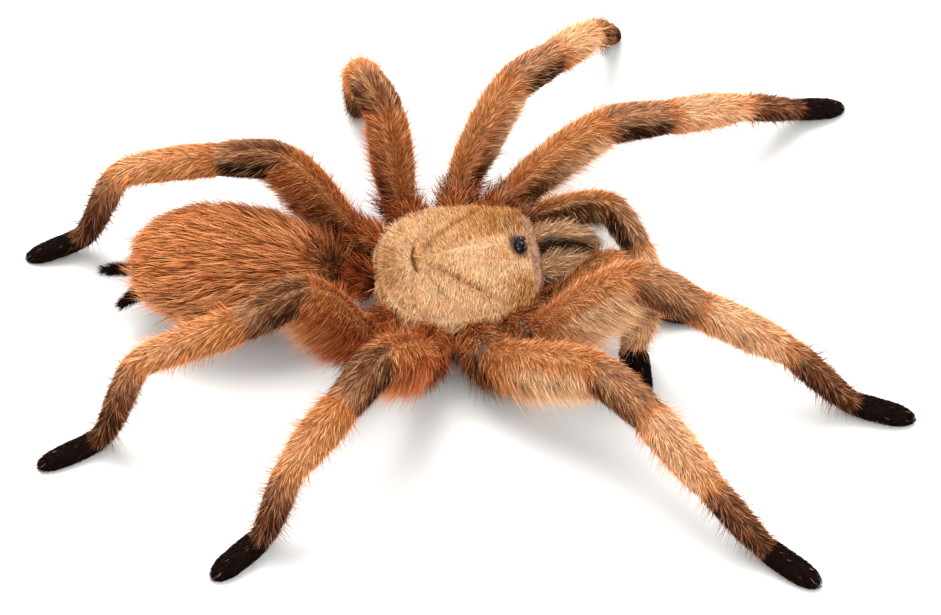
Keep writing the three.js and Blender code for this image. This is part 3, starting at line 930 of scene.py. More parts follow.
def hair_tints(lay, rng, paint, base, way):
    """Colour of each point of each hair: the marking, with some dye, times a tone that runs from root to tip.
    What the tone has over 1 turns it to cream too, a painted sheen on the bright tips, unless the marking is
    nearly black."""
    dye, share = lay.dye
    base = mixed(base, paint[dye], np.clip(share * rng.uniform(0.4, 1.6, len(base)), 0, 1))
    tone = (lay.root + (lay.tip - lay.root) * way) * rng.lognormal(0, lay.vary, (len(base), 1))
    # Painted sheen: where the tone is over 1, the tip turns towards cream.
    painted_sheen = np.clip(tone - 1, 0, 1.2) * 0.3 * smooth(0.02, 0.2, base.mean(axis=1))[:, None]
    tints = base[:, None] * np.minimum(tone, BRIGHTEST)[..., None]
    return tints + (paint["cream"] - tints) * painted_sheen[..., None]


def along_hair(rings):
    """Share of the way from root to tip for each point of a hair."""
    return np.append(np.repeat(np.linspace(0, 1, rings + 1)[:-1], 3), 1.0)


def grow(surface, lay, rng, paint, weight=lambda u, v: 1.0):
    """One layer of hair: its points, their colours, the places of its roots and its rings. The comb runs
    along the surface, turned round it by the lean times the sine of the turn, and by the scatter times a
    ripple and a random number."""
    u, v, along, around, normal = spread_roots(surface, lay, rng, weight)
    mark = surface.at(surface.mark, u)
    turn = 2 * math.pi * (v - np.round(v))
    root = surface.point(u, v) - ROOT_DEPTH * normal
    bend = ripple(root, size=2.4, seed=21) * lay.scatter + rng.normal(0, 0.5, len(u)) * lay.scatter
    comb = np.radians(np.sign(turn) * measure(lay.lean, mark) * np.abs(np.sin(turn)) + bend)[:, None]
    ahead = np.cos(comb) * along + np.sin(comb) * around
    lower = lower_side(surface, u, turn)
    length = varied(lay.length, mark, rng) * (1 + (measure(lay.below, mark) - 1) * lower)
    if lay.lock:
        ahead = gathered(lay, root, normal, ahead, length)
    lifts = [np.radians(varied(lift, mark, rng)) for lift in lay.lift]
    fall = (measure(lay.hang, mark) * lower)[:, None, None] * surface.downward(u)[:, None]
    girth, roll = varied(lay.girth, mark, rng), rng.uniform(0, 2 * math.pi, len(u))
    steps = np.linspace(0, 1, lay.rings + 1)
    points = hair_points(root, ahead, normal, fall, length, lifts, girth, roll, steps)
    marking = MARKS[surface.region](paint, surface, u, turn, root)
    tints = hair_tints(lay, rng, paint, marking, along_hair(lay.rings))
    return points, tints, np.stack([u, v], axis=1), lay.rings


def spike_faces(rings):
    """Triangles of one closed hair: walls between rings of three points, a tip, and a cap at the root."""
    sides = ((0, 1), (1, 2), (2, 0))
    levels = [3 * ring for ring in range(rings - 1)]
    wall = [(low + a, low + b, low + 3 + b) for low in levels for a, b in sides]
    wall += [(low + a, low + 3 + b, low + 3 + a) for low in levels for a, b in sides]
    last = 3 * (rings - 1)
    tip = [(last + a, last + b, 3 * rings) for a, b in sides]
    return np.array(wall + tip + [(0, 2, 1)])


# A hair's patch in the map OFBake, and the part of the map that a layer of hair spans: left, bottom, width
# and height.
PATCH = 0.003
MARGIN = 0.01
WHOLE = (MARGIN, MARGIN, 0.98, 0.98)


def coat_object(name, layers, regions):
    """One coat piece from layers of hair. regions gives each layer its rectangle in the map OFBake, and a
    hair is a patch 0.003 across at its root's place in it."""
    points, faces, tints, maps = [], [], [], []
    start = 0
    for (spots, shade, uv_root, rings), (left, bottom, width, height) in zip(layers, regions):
        count, per = spots.shape[:2]
        faces.append((start + np.arange(count)[:, None, None] * per + spike_faces(rings)).reshape(-1, 3))
        corner = np.array([left, bottom]) + uv_root * np.array([width, height])
        step = np.stack([np.append(np.tile([0, 0.5, 1], rings), 0.5), along_hair(rings)], axis=1)
        points.append(spots.reshape(-1, 3))
        tints.append(shade.reshape(-1, 3))
        maps.append((corner[:, None] + (step - 0.5) * PATCH).reshape(-1, 2))
        start += count * per
    faces = np.concatenate(faces)
    made = mesh_object(name, np.concatenate(points), faces, smooth_faces=False)
    paint_points(made.data, np.concatenate(tints))
    layer = made.data.uv_layers.new(name="OFBake")
    layer.uv.foreach_set("vector", np.concatenate(maps)[faces.ravel()].astype(np.float32).ravel())
    made.data.materials.append(bpy.data.materials.get("chitin_setae") or hair_keratin())
    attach(made, "root")


# ---- Carapace -------------------------------------------------------------------------------

PILE_DEPTH = 0.28
# The fovea is a crescent across the midline: its place, bow, depth, width and ends, millimetres.
FOVEA = {"x": -3.9, "bow": 0.1, "depth": 0.7, "width": 0.26, "ends": (1.2, 2.1)}
# Grooves that run out from the fovea: degrees from the head's direction, depth and reach in millimetres.
GROOVES = ((37, 0.36, 12.5), (64, 0.22, 7.5), (98, 0.2, 7.5), (138, 0.16, 5.5))
GROOVE_WIDTH = 0.36
# The low roll along the edge: height, and its place and width as shares of the plan's half size.
ROLL = {"height": 0.22, "place": 0.965, "width": 0.03}
BARE_RIM = 9.15  # millimetres forward, past which the front rim has no pile
EDGE_HAIR_END = BARE_RIM - 1.5  # and past which the edge has no longer hair
# The pile's comb: backwards by a fixed part and one in step with the way out, and outwards by a part that
# turns over within a short way of the midline and one in step with the way out.
COMB = {"back": 0.3, "sweep": 0.12, "out": 2.2, "parting": 0.7, "spread": 0.3}


def groove_depth(x, y):
    """How deep a point of the carapace lies in its grooves: each is a ridge of a Gauss curve round a ray
    from the fovea, faded at both ends, and the fovea is one round a parabola across the midline."""
    ahead, out = x - FOVEA["x"], np.abs(y)
    deep = np.zeros_like(x)
    for degrees, depth, far in GROOVES:
        ray = math.radians(degrees)
        along = ahead * math.cos(ray) + out * math.sin(ray)
        off = -ahead * math.sin(ray) + out * math.cos(ray)
        reach = smooth(0.6, 2.4, along) * (1 - smooth(0.75 * far, far, along))
        deep += depth * reach * np.exp(-((off / GROOVE_WIDTH) ** 2))
    off = (ahead - FOVEA["bow"] * y**2) / FOVEA["width"]
    return deep + FOVEA["depth"] * np.exp(-(off**2)) * (1 - smooth(*FOVEA["ends"], out))


def brow_climb(x):
    """How far the margin climbs towards the front, in step with the square of the way past its start."""
    return BROW["rise"] * (np.maximum(0, x - BROW["start"]) / BROW["reach"]) ** 2


class Shell(Surface):
    """The carapace. u runs from the top of the dome to the middle of its underside."""

    name, region = "carapace", "carapace"
    mark = np.linspace(0, 1, 3)

    def downward(self, u):
        """Unit vector to the underside."""
        return np.tile(-UP, (len(u), 1))

    def point(self, u, v):
        """A sphere whose plan is a rounded square, narrower in front, raised along the head region by a
        Gauss curve, with its grooves sunk into it and a low roll along its edge. It lies under the pile by
        the pile's depth."""
        down, turn = math.pi * u, 2 * math.pi * v
        a, b, c = np.sin(down) * np.cos(turn), np.sin(down) * np.sin(turn), np.cos(down)
        power = np.where(a > 0, PLAN["front"], PLAN["rear"])
        corner = np.maximum((np.abs(a) ** power + np.abs(b) ** power) ** (1 / power), 1e-9)
        edge = np.hypot(a, b)
        spread = edge / corner
        across = b * spread * (1 - PLAN["narrowing"] * a * spread)
        x = CARAPACE["middle"] + a * spread * (CARAPACE["length"] / 2 - PILE_DEPTH)
        y = across * (CARAPACE["width"] / 2 - PILE_DEPTH)
        ridge = np.exp(-(((x - CEPHALIC["x"]) / CEPHALIC["length"]) ** 2) - (y / CEPHALIC["width"]) ** 2)
        climb = brow_climb(x)
        above = (CARAPACE["dome"] + CEPHALIC["rise"] * ridge - climb - PILE_DEPTH) * c
        below = (CARAPACE["lip"] - PILE_DEPTH) * c
        roll = ROLL["height"] * np.exp(-(((edge - ROLL["place"]) / ROLL["width"]) ** 2))
        sunk = groove_depth(x, y) * smooth(0.0, 0.25, c)
        z = CARAPACE["margin"] + climb + np.where(c > 0, above - sunk + roll * smooth(0, 0.1, c), below)
        return np.stack([x, y, z], axis=1)

    def axes(self, u, v):
        """Unit vectors along the comb, round and out of the shell, and the area of a unit of u and v, which
        is the length of the slopes' cross product. The pile is combed out to the sides on the head region
        and away from the fovea behind it."""
        cross = np.cross(*self.slopes(u, v, least=1e-4))
        normal = unit(cross)
        x, y, _ = self.point(u, v).T
        back = np.minimum(x - FOVEA["x"], 0) - COMB["sweep"] * np.abs(y) - COMB["back"]
        out = COMB["out"] * np.tanh(y / COMB["parting"]) + COMB["spread"] * y
        wish = np.stack([back, out, np.zeros(len(u))], axis=1)
        along = unit(wish - (wish * normal).sum(axis=1)[:, None] * normal)
        return along, np.cross(normal, along), normal, np.linalg.norm(cross, axis=1)


SHELL = Shell()


def shell_marks(paint, surface, u, turn, points):
    """Colour on the carapace: golden, browner in a fan of painted shade on the far flank of the head region,
    browner on its near front corner and behind the fovea, browner and darker in the grooves, partly dark
    specks and partly painted shade in these hollows, dark round the eyes, rosy on the bare front rim with
    painted shade on its front face, and darker under the edge as painted shade."""
    x, y, z = points.T
    deep = groove_depth(x, y)
    # The fan is painted shade on the far flank of the head region, which slopes away from the light: bronze
    # over it, and umber towards its front.
    angle = np.degrees(np.arctan2(y + 1.0, x - FOVEA["x"]))
    fan = smooth(10, 19, angle) * (1 - smooth(58, 80, angle)) * (1 - 0.6 * smooth(7.4, 8.4, y))
    specks = smooth(0.1, 0.5, ripple(points, size=0.9, seed=41)) * smooth(0.08, 0.25, deep)
    eyes = np.hypot((x - EYE_MOUND["x"] + 0.1) / 1.5, (y - 0.3) / 2.0)
    base = painted(
        mixed(paint["gold"], paint["amber"], 0.2 + 0.2 * ripple(points, size=3.5, seed=13)),
        paint,
        ("bronze", fan * (0.45 + 0.45 * smooth(0.0, 5.0, x))),
        ("umber", 0.45 * fan * smooth(4.0, 8.0, x) * (1 - smooth(4.5, 6.5, y))),
        ("bronze", 0.85 * smooth(5.5, 8.8, x - 0.2 * y) * smooth(2.6, 4.6, -y)),
        ("bronze", 0.6 * (1 - smooth(-6.2, -4.6, x)) * (1 - smooth(1.5, 4.0, np.abs(y)))),
        # Grooves: bronze, and umber with dark specks, partly the pile's own colour and partly painted shade
        # in these hollows.
        ("bronze", np.clip(1.8 * deep, 0, 0.85)),
        ("umber", np.clip(2.0 * (deep - 0.3) + 0.7 * specks, 0, 0.95)),
        ("umber", 0.9 * (1 - smooth(0.5, 1.0, eyes))),
    )
    flushed = mixed(paint["rose"], paint["tan"], 0.45 + 0.25 * ripple(points, size=1.7, seed=17))
    # Umber over the bare rim: an uneven mottle, and painted shade on its front face forward of 10.3 mm.
    worn = 0.15 + 0.15 * ripple(points, size=0.9, seed=19) + 0.6 * smooth(10.3, 10.6, x)
    rim = 0.8 * mixed(flushed, paint["umber"], worn)
    base = base + (rim - base) * smooth(BARE_RIM - 0.1, BARE_RIM + 0.1, x)[:, None]
    # Painted shade under the carapace's edge.
    return mixed(base, paint["umber"], 0.3 * smooth(0.0, 0.4, CARAPACE["margin"] - z + brow_climb(x)))


MARKS["carapace"] = shell_marks


# ---- Round pieces ---------------------------------------------------------------------------


def ball(middle, halves, rings=20, around=28):
    """A closed ellipsoid: cosine and sine of the two angles times its half sizes."""
    down, turn = grid(np.linspace(0, math.pi, rings + 2)[1:-1], np.arange(around) * 2 * math.pi / around)
    points = np.stack([np.sin(down) * np.cos(turn), np.sin(down) * np.sin(turn), np.cos(down)], axis=1)
    points = np.concatenate([points, [[0, 0, 1], [0, 0, -1]]])
    return points * np.asarray(halves) + np.asarray(middle), closed_grid(rings, around)[:, ::-1]


def bent_cone(path, root, tip, rings=24, around=16):
    """A closed curved cone along a Bezier curve, with its girth falling evenly from root to tip."""
    t = np.linspace(0, 1, rings)
    centre, along = bezier(path, t)
    girth = root + (tip - root) * t
    across = np.cross(UP, along)
    upright = np.linalg.norm(across, axis=1) < 0.05
    across[upright] = np.array([0.0, 1.0, 0.0])
    return tube_mesh(table("cone", "horn", t, centre, along, unit(across), girth, girth, 0.0), rings, around)


def joined(parts):
    """Several sets of points and triangles as one."""
    starts = np.cumsum([0] + [len(points) for points, _ in parts[:-1]])
    points = np.concatenate([points for points, _ in parts])
    return points, np.concatenate([faces + start for (_, faces), start in zip(parts, starts)])


def piece(name, shape, finish, nodes):
    """A finished piece: its mesh, material and the solids that it stands for."""
    made = mesh_object(name, *shape)
    made.data.materials.append(finish)
    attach(made, "root")
    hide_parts(*nodes)
    return made


# ---- Operators ------------------------------------------------------------------------------

class TARANTULA_OT_skin(bpy.types.Operator):
    """Joins all flesh into one skin and colours it with the markings"""

    bl_idname = "tarantula.skin"
    bl_label = "Skin"

    def execute(self, context):
        parts = []
        for tube in TUBES.values():
            parts.append(tube_mesh(tube, *(LIMB_GRID if tube.region == "limb" else BODY_GRID)))
        rough = mesh_object("skin_parts", *joined(parts))
        fuse = rough.modifiers.new("fuse", "REMESH")
        fuse.mode, fuse.voxel_size, fuse.use_smooth_shade = "VOXEL", context.scene.tarantula_sizes.voxel, True
        ease = rough.modifiers.new("ease", "SMOOTH")
        ease.factor, ease.iterations = SKIN_EASE
        mesh = bpy.data.meshes.new_from_object(rough.evaluated_get(context.evaluated_depsgraph_get()))
        bpy.data.objects.remove(rough)
        if not len(mesh.polygons):
            raise RuntimeError("the flesh did not join into a skin")
        skin = bpy.data.objects.new("skin", mesh)
        context.scene.collection.objects.link(skin)
        paint_points(mesh, self.marks(mesh))
        mesh.materials.clear()
        mesh.materials.append(skin_cuticle())
        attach(skin, "root")
        solids = [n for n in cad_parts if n.startswith(("leg_", "palp_", "chelicera_", "spinneret_"))]
        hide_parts("abdomen", "pedicel", "underside", *solids)
        return {"FINISHED"}

    def marks(self, mesh):
        """Colours of the skin: the markings of the tube whose surface lies nearest, darkened partly as the
        skin's own tone and partly as painted shade under the coat; the nearest is the one with the least
        distance to a station's centre less its bare girth there."""
        spots = np.empty(len(mesh.vertices) * 3)
        mesh.vertices.foreach_get("co", spots)
        spots = spots.reshape(-1, 3) / MM - SHIFT
        paint, best = colours(), np.full(len(spots), np.inf)
        tints = np.zeros((len(spots), 3))
        u = np.linspace(0, 1, SKIN_STATIONS)
        for tube in TUBES.values():
            line = tube.at(tube.centre, u)
            girth = (tube.at(tube.half_width, u) + tube.at(tube.half_height, u)) / 2
            gaps = np.linalg.norm(spots[:, None] - line[None], axis=2) - girth * tube.at(tube.bare, u)
            nearest = gaps.argmin(axis=1)
            gap = gaps[np.arange(len(spots)), nearest]
            here = gap < best
            best[here] = gap[here]
            at = u[nearest[here]]
            off = spots[here] - line[nearest[here]]
            rise = (off * tube.at(tube.upward, at)).sum(axis=1)
            reach = (off * tube.at(tube.across, at)).sum(axis=1)
            turn = np.arctan2(reach, rise)
            # Under the coat the skin is darker: its own tone, and painted shade among the hairs.
            tints[here] = SKIN_TONE * MARKS[tube.region](paint, tube, at, turn, spots[here])
            if tube.region == "limb":
                tints[here] = mixed(tints[here], BARE_TONE * paint["rose"], bareness(tube, at, turn))
        return tints


class TARANTULA_OT_carapace(bpy.types.Operator):
    """Builds the carapace shell with its grooves, rim and bare front edge"""

    bl_idname = "tarantula.carapace"
    bl_label = "Carapace"

    def execute(self, context):
        rings, around = SHELL_GRID
        u = np.linspace(0, 1, rings + 2)[1:-1]
        points = SHELL.point(*grid(u, np.arange(around) / around))
        poles = SHELL.point(np.array([0.0, 1.0]), np.zeros(2))
        points = np.concatenate([points, poles])
        shape = points, closed_grid(rings, around)[:, ::-1]
        made = piece("carapace_shell", shape, shell_cuticle(), ["carapace"])
        # The shell under its pile is darker, partly its own tone and partly painted shade among the hairs;
        # the bare rim keeps its full tone.
        tone = PILE_TONE + (1 - PILE_TONE) * smooth(BARE_RIM - 0.2, BARE_RIM + 0.2, points[:, 0])
        paint_points(made.data, shell_marks(colours(), SHELL, None, None, points) * tone[:, None])
        return {"FINISHED"}


class TARANTULA_OT_eyes(bpy.types.Operator):
    """Builds the eye mound and its eight eyes"""

    bl_idname = "tarantula.eyes"
    bl_label = "Eyes"

    def execute(self, context):
        middle = np.array([EYE_MOUND["x"], 0.0, EYE_MOUND["level"] - EYE_SINK])
        halves = (EYE_MOUND["length"] / 2, EYE_MOUND["width"] / 2, EYE_MOUND["height"])
        mound = horn_material("sclerotised_mound", "0B0706", roughness=0.6, shine=0.12)
        cornea = horn_material("cornea", "040303", roughness=0.05, shine=0.4)
        piece("eye_mound", ball(middle, halves), mound, ["eyes"])
        lenses = [
            ball(middle + np.array([ahead, side * out, up]), (radius,) * 3, rings=14, around=20)
            for side in SIDES.values()
            for ahead, out, up, radius in EYES
        ]
        piece("eye_lenses", joined(lenses), cornea, ["eyes"])
        return {"FINISHED"}


class TARANTULA_OT_horn(bpy.types.Operator):
    """Builds the fangs and the paired claws of the feet"""

    bl_idname = "tarantula.horn"
    bl_label = "Fangs and claws"

    def execute(self, context):
        finish = horn_material("black_horn", "120B09", roughness=0.22, shine=0.5)
        for side in SIDES:
            path = [sided(p, side) for p in FANG["path"]]
            shape = bent_cone(path, FANG["root"], FANG["tip"] * FANG_POINT)
            piece(f"fang_{side}_horn", shape, finish, [f"fang_{side}"])
        claws = []
        for side, kind in LEGS:
            tube = TUBES[f"leg_{side}_{kind}"]
            tip, before = tube.centre[-1], tube.centre[CLAW_STATION]
            ahead = unit((tip - before) * np.array([1, 1, 0]))
            for sign in (-1, 1):
                root = before + sign * CLAW["aside"] * tube.across[-1] + CLAW["above"] * UP
                path = [root + far * ahead + high * UP for far, high in CLAW_PATH]
                claws.append(bent_cone(path, CLAW["root"], CLAW["tip"], rings=12, around=8))
        made = mesh_object("claws", *joined(claws))
        made.data.materials.append(finish)
        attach(made, "root")
        return {"FINISHED"}


# Lean, fringe and hang of the coat on legs and palps. Values in brackets are for coxa, femur, patella,
# tibia, metatarsus and tarsus in turn, or, where there are twelve, for the start and end of each. The
# fringe is the length on the lower side as a share of that on top.
LEAN = (50, 62, 24, 26, 22, 12)
FRINGE = (2.4, 3.6, 4.1, 2.6, 1.0, 1.1, 1.1, 1.1, 1, 1, 1, 1)
HANG = (1.4, 1.8, 2.2, 1.4, 0.3, 0.3, 0.3, 0.4, 0.3, 0.2, 0, 0)
# Undercoat, guard hair, fine pale hair, sparse standing hair and spines of the legs and palps.
LIMB_LAYS = (
    Lay(19, (1.0, 0.85, 0.8, 0.85, 0.75, 0.42), ((44, 34, 32, 34, 34, 26), (24, 10, 10, 12, 12, 8)), 0.078,
        lean=LEAN, scatter=11, below=(2.4, 3.4, 3.8, 2.4, *FRINGE[4:]), hang=HANG, root=0.18, tip=0.62,
        vary=0.35),
    Lay(13, (1.3, 1.0, 0.95, 1.0, 0.9, 0.55), ((46, 32, 30, 32, 34, 28), (26, 10, 10, 10, 12, 10)), 0.072,
        lean=LEAN, scatter=11, below=FRINGE, hang=HANG, root=0.55, tip=2.1, vary=0.5),
    Lay(4.2, (1.5, 1.4, 1.3, 1.4, 1.3, 0.7), ((48, 40, 36, 42, 44, 36), (28, 20, 16, 22, 26, 18)), 0.05,
        rings=2, lean=(50, 56, 26, 30, 26, 12), scatter=16, below=FRINGE, hang=(*HANG[:4], 0.4, *HANG[5:]),
        root=0.6, tip=1.6, dye=("cream", 0.2), vary=0.4, share=(1, 1, 1, 1, 0.8, 0.05)),
    Lay(2.8, (1.8, 1.8, 2.4, 1.9, 1.4, 1.4, 1.9, 2.4, 2.2, 2.0, 0.9, 0.9),
        ((60, 62, 46, 64, 64, 50), (50, 50, 30, 52, 52, 40)), 0.062,
        lean=20, scatter=28, below=(1.3, 1.2, 1, 1, 1, 1), hang=(0.9, 0.4, 0.2, 0.2, 0.1, 0.0), root=0.8,
        tip=0.95, dye=("rust", 0.35), vary=0.35, share=(1, 1, 0.8, 1, 1, 0.05)),
    Lay(0.05, (0.6, 0.9, 0.9, 1.3, 1.2, 0.5), (58, 40), 0.12, rings=2, scatter=20, root=0.7, tip=1.0,
        dye=("soot", 1.0), share=(0, 0.3, 0, 1, 1, 0)),
)
# Undercoat, guard hair in locks, fine pale hair and sparse standing hair of the abdomen.
ABDOMEN_LAYS = (
    Lay(22, 1.3, (26, 8), 0.08, lean=12, scatter=10, root=0.1, tip=0.42, vary=0.4),
    Lay(8.5, 2.3, (28, 6), 0.075, rings=2, lean=12, scatter=11, lock=1.2, pull=0.35, root=0.4, tip=2.2,
        vary=0.5),
    Lay(2.6, 2.9, (38, 14), 0.055, rings=2, lean=12, scatter=16, lock=1.6, pull=0.4, root=0.7, tip=1.6,
        dye=("cream", 0.15), vary=0.5),
    Lay(1.2, 3.2, (54, 34), 0.06, lean=12, scatter=22, root=0.5, tip=0.7, dye=("rust", 0.5), vary=0.3),
)
# Undercoat, golden pile and sparse dark hair of the carapace, and the longer hair round its edge.
PILE_LAYS = (
    Lay(60, 0.5, (28, 12), 0.06, scatter=10, root=0.15, tip=0.55, vary=0.35),
    Lay(19, 0.85, (26, 8), 0.08, scatter=10, root=0.45, tip=2.2, dye=("cream", 0.15), vary=0.5),
    Lay(4, 0.75, (30, 14), 0.07, scatter=14, root=0.3, tip=0.7, dye=("umber", 0.7), vary=0.4),
)
RIM_LAYS = (
    Lay(12, 1.2, (16, 4), 0.07, rings=2, scatter=16, root=0.4, tip=1.4, dye=("cream", 0.15), vary=0.4),
    Lay(4, 1.7, (24, 8), 0.06, rings=2, scatter=26, root=0.5, tip=1.3, dye=("tan", 0.3), vary=0.4),
)
# Hair that hangs from under the edge of the carapace over the limbs' bases.
SKIRT_LAYS = (
    Lay(10, 1.9, (24, 50), 0.08, rings=2, scatter=22, root=0.4, tip=1.4, dye=("tan", 0.5), vary=0.5),
    Lay(3, 2.2, (30, 60), 0.06, rings=2, scatter=30, root=0.5, tip=1.5, dye=("orange", 0.6), vary=0.4),
)
# Undercoat, guard hair, standing hair and fine pale hair of the jaw bases.
JAW_LAYS = (
    Lay(30, 0.7, (26, 8), 0.06, scatter=12, root=0.2, tip=0.6, vary=0.3),
    Lay(10, 0.95, (24, 8), 0.085, scatter=12, root=0.5, tip=1.5, vary=0.45),
    Lay(7, 1.5, (48, 30), 0.07, scatter=22, root=0.35, tip=0.9, vary=0.5),
    Lay(2.5, 1.7, (44, 24), 0.045, rings=2, scatter=18, root=0.6, tip=1.4, dye=("cream", 0.4), vary=0.4),
)
# Long hair in the gaps between the limbs' bases.
HUB_SHARE = (1, 0.55, 0, 0, 0, 0, 0, 0, 0, 0, 0, 0)
HUB_LAYS = (
    Lay(11, 2.4, (40, 20), 0.08, rings=2, scatter=62, below=1.8, hang=0.9, root=0.2, tip=0.85,
        dye=("soot", 0.5), vary=0.55, share=HUB_SHARE),
    Lay(3.5, 2.8, (46, 24), 0.06, rings=2, scatter=62, below=1.5, hang=0.5, root=0.5, tip=1.5,
        dye=("ember", 0.8), vary=0.4, share=(1, 0.4, *HUB_SHARE[2:])),
)
# Dark hair that hangs from the lower side of the limbs' bases.
HIP_LAYS = (
    Lay(22, 3.0, (50, 30), 0.1, rings=2, scatter=40, hang=1.5, root=0.2, tip=0.7, dye=("soot", 0.6),
        vary=0.5),
)
# Long hair on the waist and over the front of the abdomen.
WAIST_LAYS = (
    Lay(9, 2.6, (52, 22), 0.08, rings=2, scatter=36, root=0.15, tip=0.8, dye=("soot", 0.5), vary=0.5),
    Lay(4, 3.0, (58, 30), 0.06, rings=2, scatter=34, root=0.5, tip=1.5, dye=("ember", 0.8), vary=0.4),
)
# Hair of the underside and of the spinnerets.
DARK_LAYS = (
    Lay(16, 1.6, (45, 22), 0.085, scatter=20, lock=0.9, pull=0.3, root=0.4, tip=1.3, vary=0.45),
    Lay(4, 2.4, (60, 34), 0.06, rings=2, scatter=24, root=0.6, tip=1.3, dye=("rust", 0.3)),
)
TAIL_LAYS = (Lay(60, 0.85, (54, 34), 0.085, scatter=16, root=0.5, tip=0.8),)
# Each limb's coat adds its own number to the seed, and the body's coat adds this one.
BODY_SEED = 100


def limb_weight(tube):
    """Weight of hair along a limb: none on the root that the body hides, nor on its bare crescent."""

    def weight(u, v):
        """A smooth step in at the root times what is not bare."""
        return smooth(0.45, 0.65, tube.at(tube.mark, u)) * (1 - bareness(tube, u, 2 * math.pi * v))

    return weight


def hip_weight(tube):
    """Weight of hair on the lower side of a limb's base."""

    def weight(u, v):
        """Smooth steps in and out along the base times one from its flanks down."""
        mark, below = tube.at(tube.mark, u), -np.cos(2 * math.pi * v)
        return smooth(0.2, 0.5, mark) * (1 - smooth(1.0, 1.15, mark)) * smooth(0.0, 0.4, below)

    return weight


class TARANTULA_OT_limb_coat(bpy.types.Operator):
    """Grows the coat of the eight legs and two palps, a piece for each"""

    bl_idname = "tarantula.limb_coat"
    bl_label = "Coat of legs and palps"

    def execute(self, context):
        paint = colours()
        for i, (side, kind) in enumerate(LEGS + PALPS):
            tube = TUBES[limb_name(side, kind)]
            rng = np.random.default_rng(context.scene.tarantula_sizes.seed + i)
            layers = [grow(tube, lay, rng, paint, limb_weight(tube)) for lay in LIMB_LAYS + HUB_LAYS]
            layers += [grow(tube, lay, rng, paint, hip_weight(tube)) for lay in HIP_LAYS]
            coat_object(f"coat_{tube.name}", layers, [WHOLE] * len(layers))
        return {"FINISHED"}


class TARANTULA_OT_body_coat(bpy.types.Operator):
    """Grows the coat of the abdomen, carapace, jaws, underside and spinnerets"""

    bl_idname = "tarantula.body_coat"
    bl_label = "Coat of the body"

    def execute(self, context):
        paint = colours()
        rng = np.random.default_rng(context.scene.tarantula_sizes.seed + BODY_SEED)
        for side, low in (("left", 0.0), ("right", 0.5)):
            whole = self.half_weight(low)
            back = self.half_weight(low, start=0.84, end=0.93)
            front = self.half_weight(low, start=0.12, end=0.3)
            weights = [whole] + [back] * (len(ABDOMEN_LAYS) - 1) + [front] * len(WAIST_LAYS)
            lays = zip(ABDOMEN_LAYS + WAIST_LAYS, weights)
            half = [grow(TUBES["abdomen"], lay, rng, paint, weight) for lay, weight in lays]
            coat_object(f"coat_abdomen_{side}", half, [WHOLE] * len(half))
        parts = ((PILE_LAYS, self.shell_weight), (RIM_LAYS, self.rim_weight), (SKIRT_LAYS, self.skirt_weight))
        pile = [grow(SHELL, lay, rng, paint, weight) for lays, weight in parts for lay in lays]
        coat_object("coat_carapace", pile, [WHOLE] * len(pile))
        for name, members, lays, slot in (
            ("coat_jaws", ("chelicera_left", "chelicera_right"), JAW_LAYS, "jaw_coat"),
            ("coat_underside", ("sternum",), DARK_LAYS, "underside_coat"),
            ("coat_waist", ("pedicel",), DARK_LAYS + WAIST_LAYS, "underside_coat"),
            ("coat_spinnerets", ("spinneret_left", "spinneret_right"), TAIL_LAYS, "spinneret_coat"),
        ):
            layers, regions = [], []
            left, bottom, width, height = WHOLE
            width /= len(members)
            for i, member in enumerate(members):
                layers += [grow(TUBES[member], lay, rng, paint) for lay in lays]
                regions += [(left + i * width, bottom, width - MARGIN, height)] * len(lays)
            coat_object(name, layers, regions)
        return {"FINISHED"}

    def half_weight(self, low, start=2.0, end=3.0):
        """Hair on the half of a tube whose turn starts at a share of the way round, thinner underneath, and
        gone past a smooth step from start to end along it."""

        def weight(u, v):
            """1 on that half, less 0.4 of a smooth step below, times what is left of the one along."""
            half = ((v >= low) & (v < low + 0.5)) * (1 - 0.4 * smooth(0.3, 0.8, -np.cos(2 * math.pi * v)))
            return half * (1 - smooth(start, end, u))

        return weight

    def rim_weight(self, u, v):
        """Longer hair round the edge of the carapace, but for its bare front."""
        x = SHELL.point(u, v)[:, 0]
        return smooth(0.4, 0.45, u) * (u < 0.53) * (x < EDGE_HAIR_END)

    def skirt_weight(self, u, v):
        """Hair from the underside of the carapace's edge, but for its front."""
        x = SHELL.point(u, v)[:, 0]
        return smooth(0.5, 0.52, u) * (1 - smooth(0.6, 0.63, u)) * (x < EDGE_HAIR_END)

    def shell_weight(self, u, v):
        """Pile on the upper side of the carapace, none on the bare rim, round the eyes or in the fovea."""
        x, y, _ = SHELL.point(u, v).T
        eyes = np.hypot((x - EYE_MOUND["x"]) / 0.8, y / 1.1)
        rim = 1 - 0.7 * smooth(BARE_RIM - 0.3, BARE_RIM + 0.2, x)
        return (u < 0.51) * rim * smooth(0.9, 1.1, eyes) * (1 - smooth(0.25, 0.6, groove_depth(x, y)))


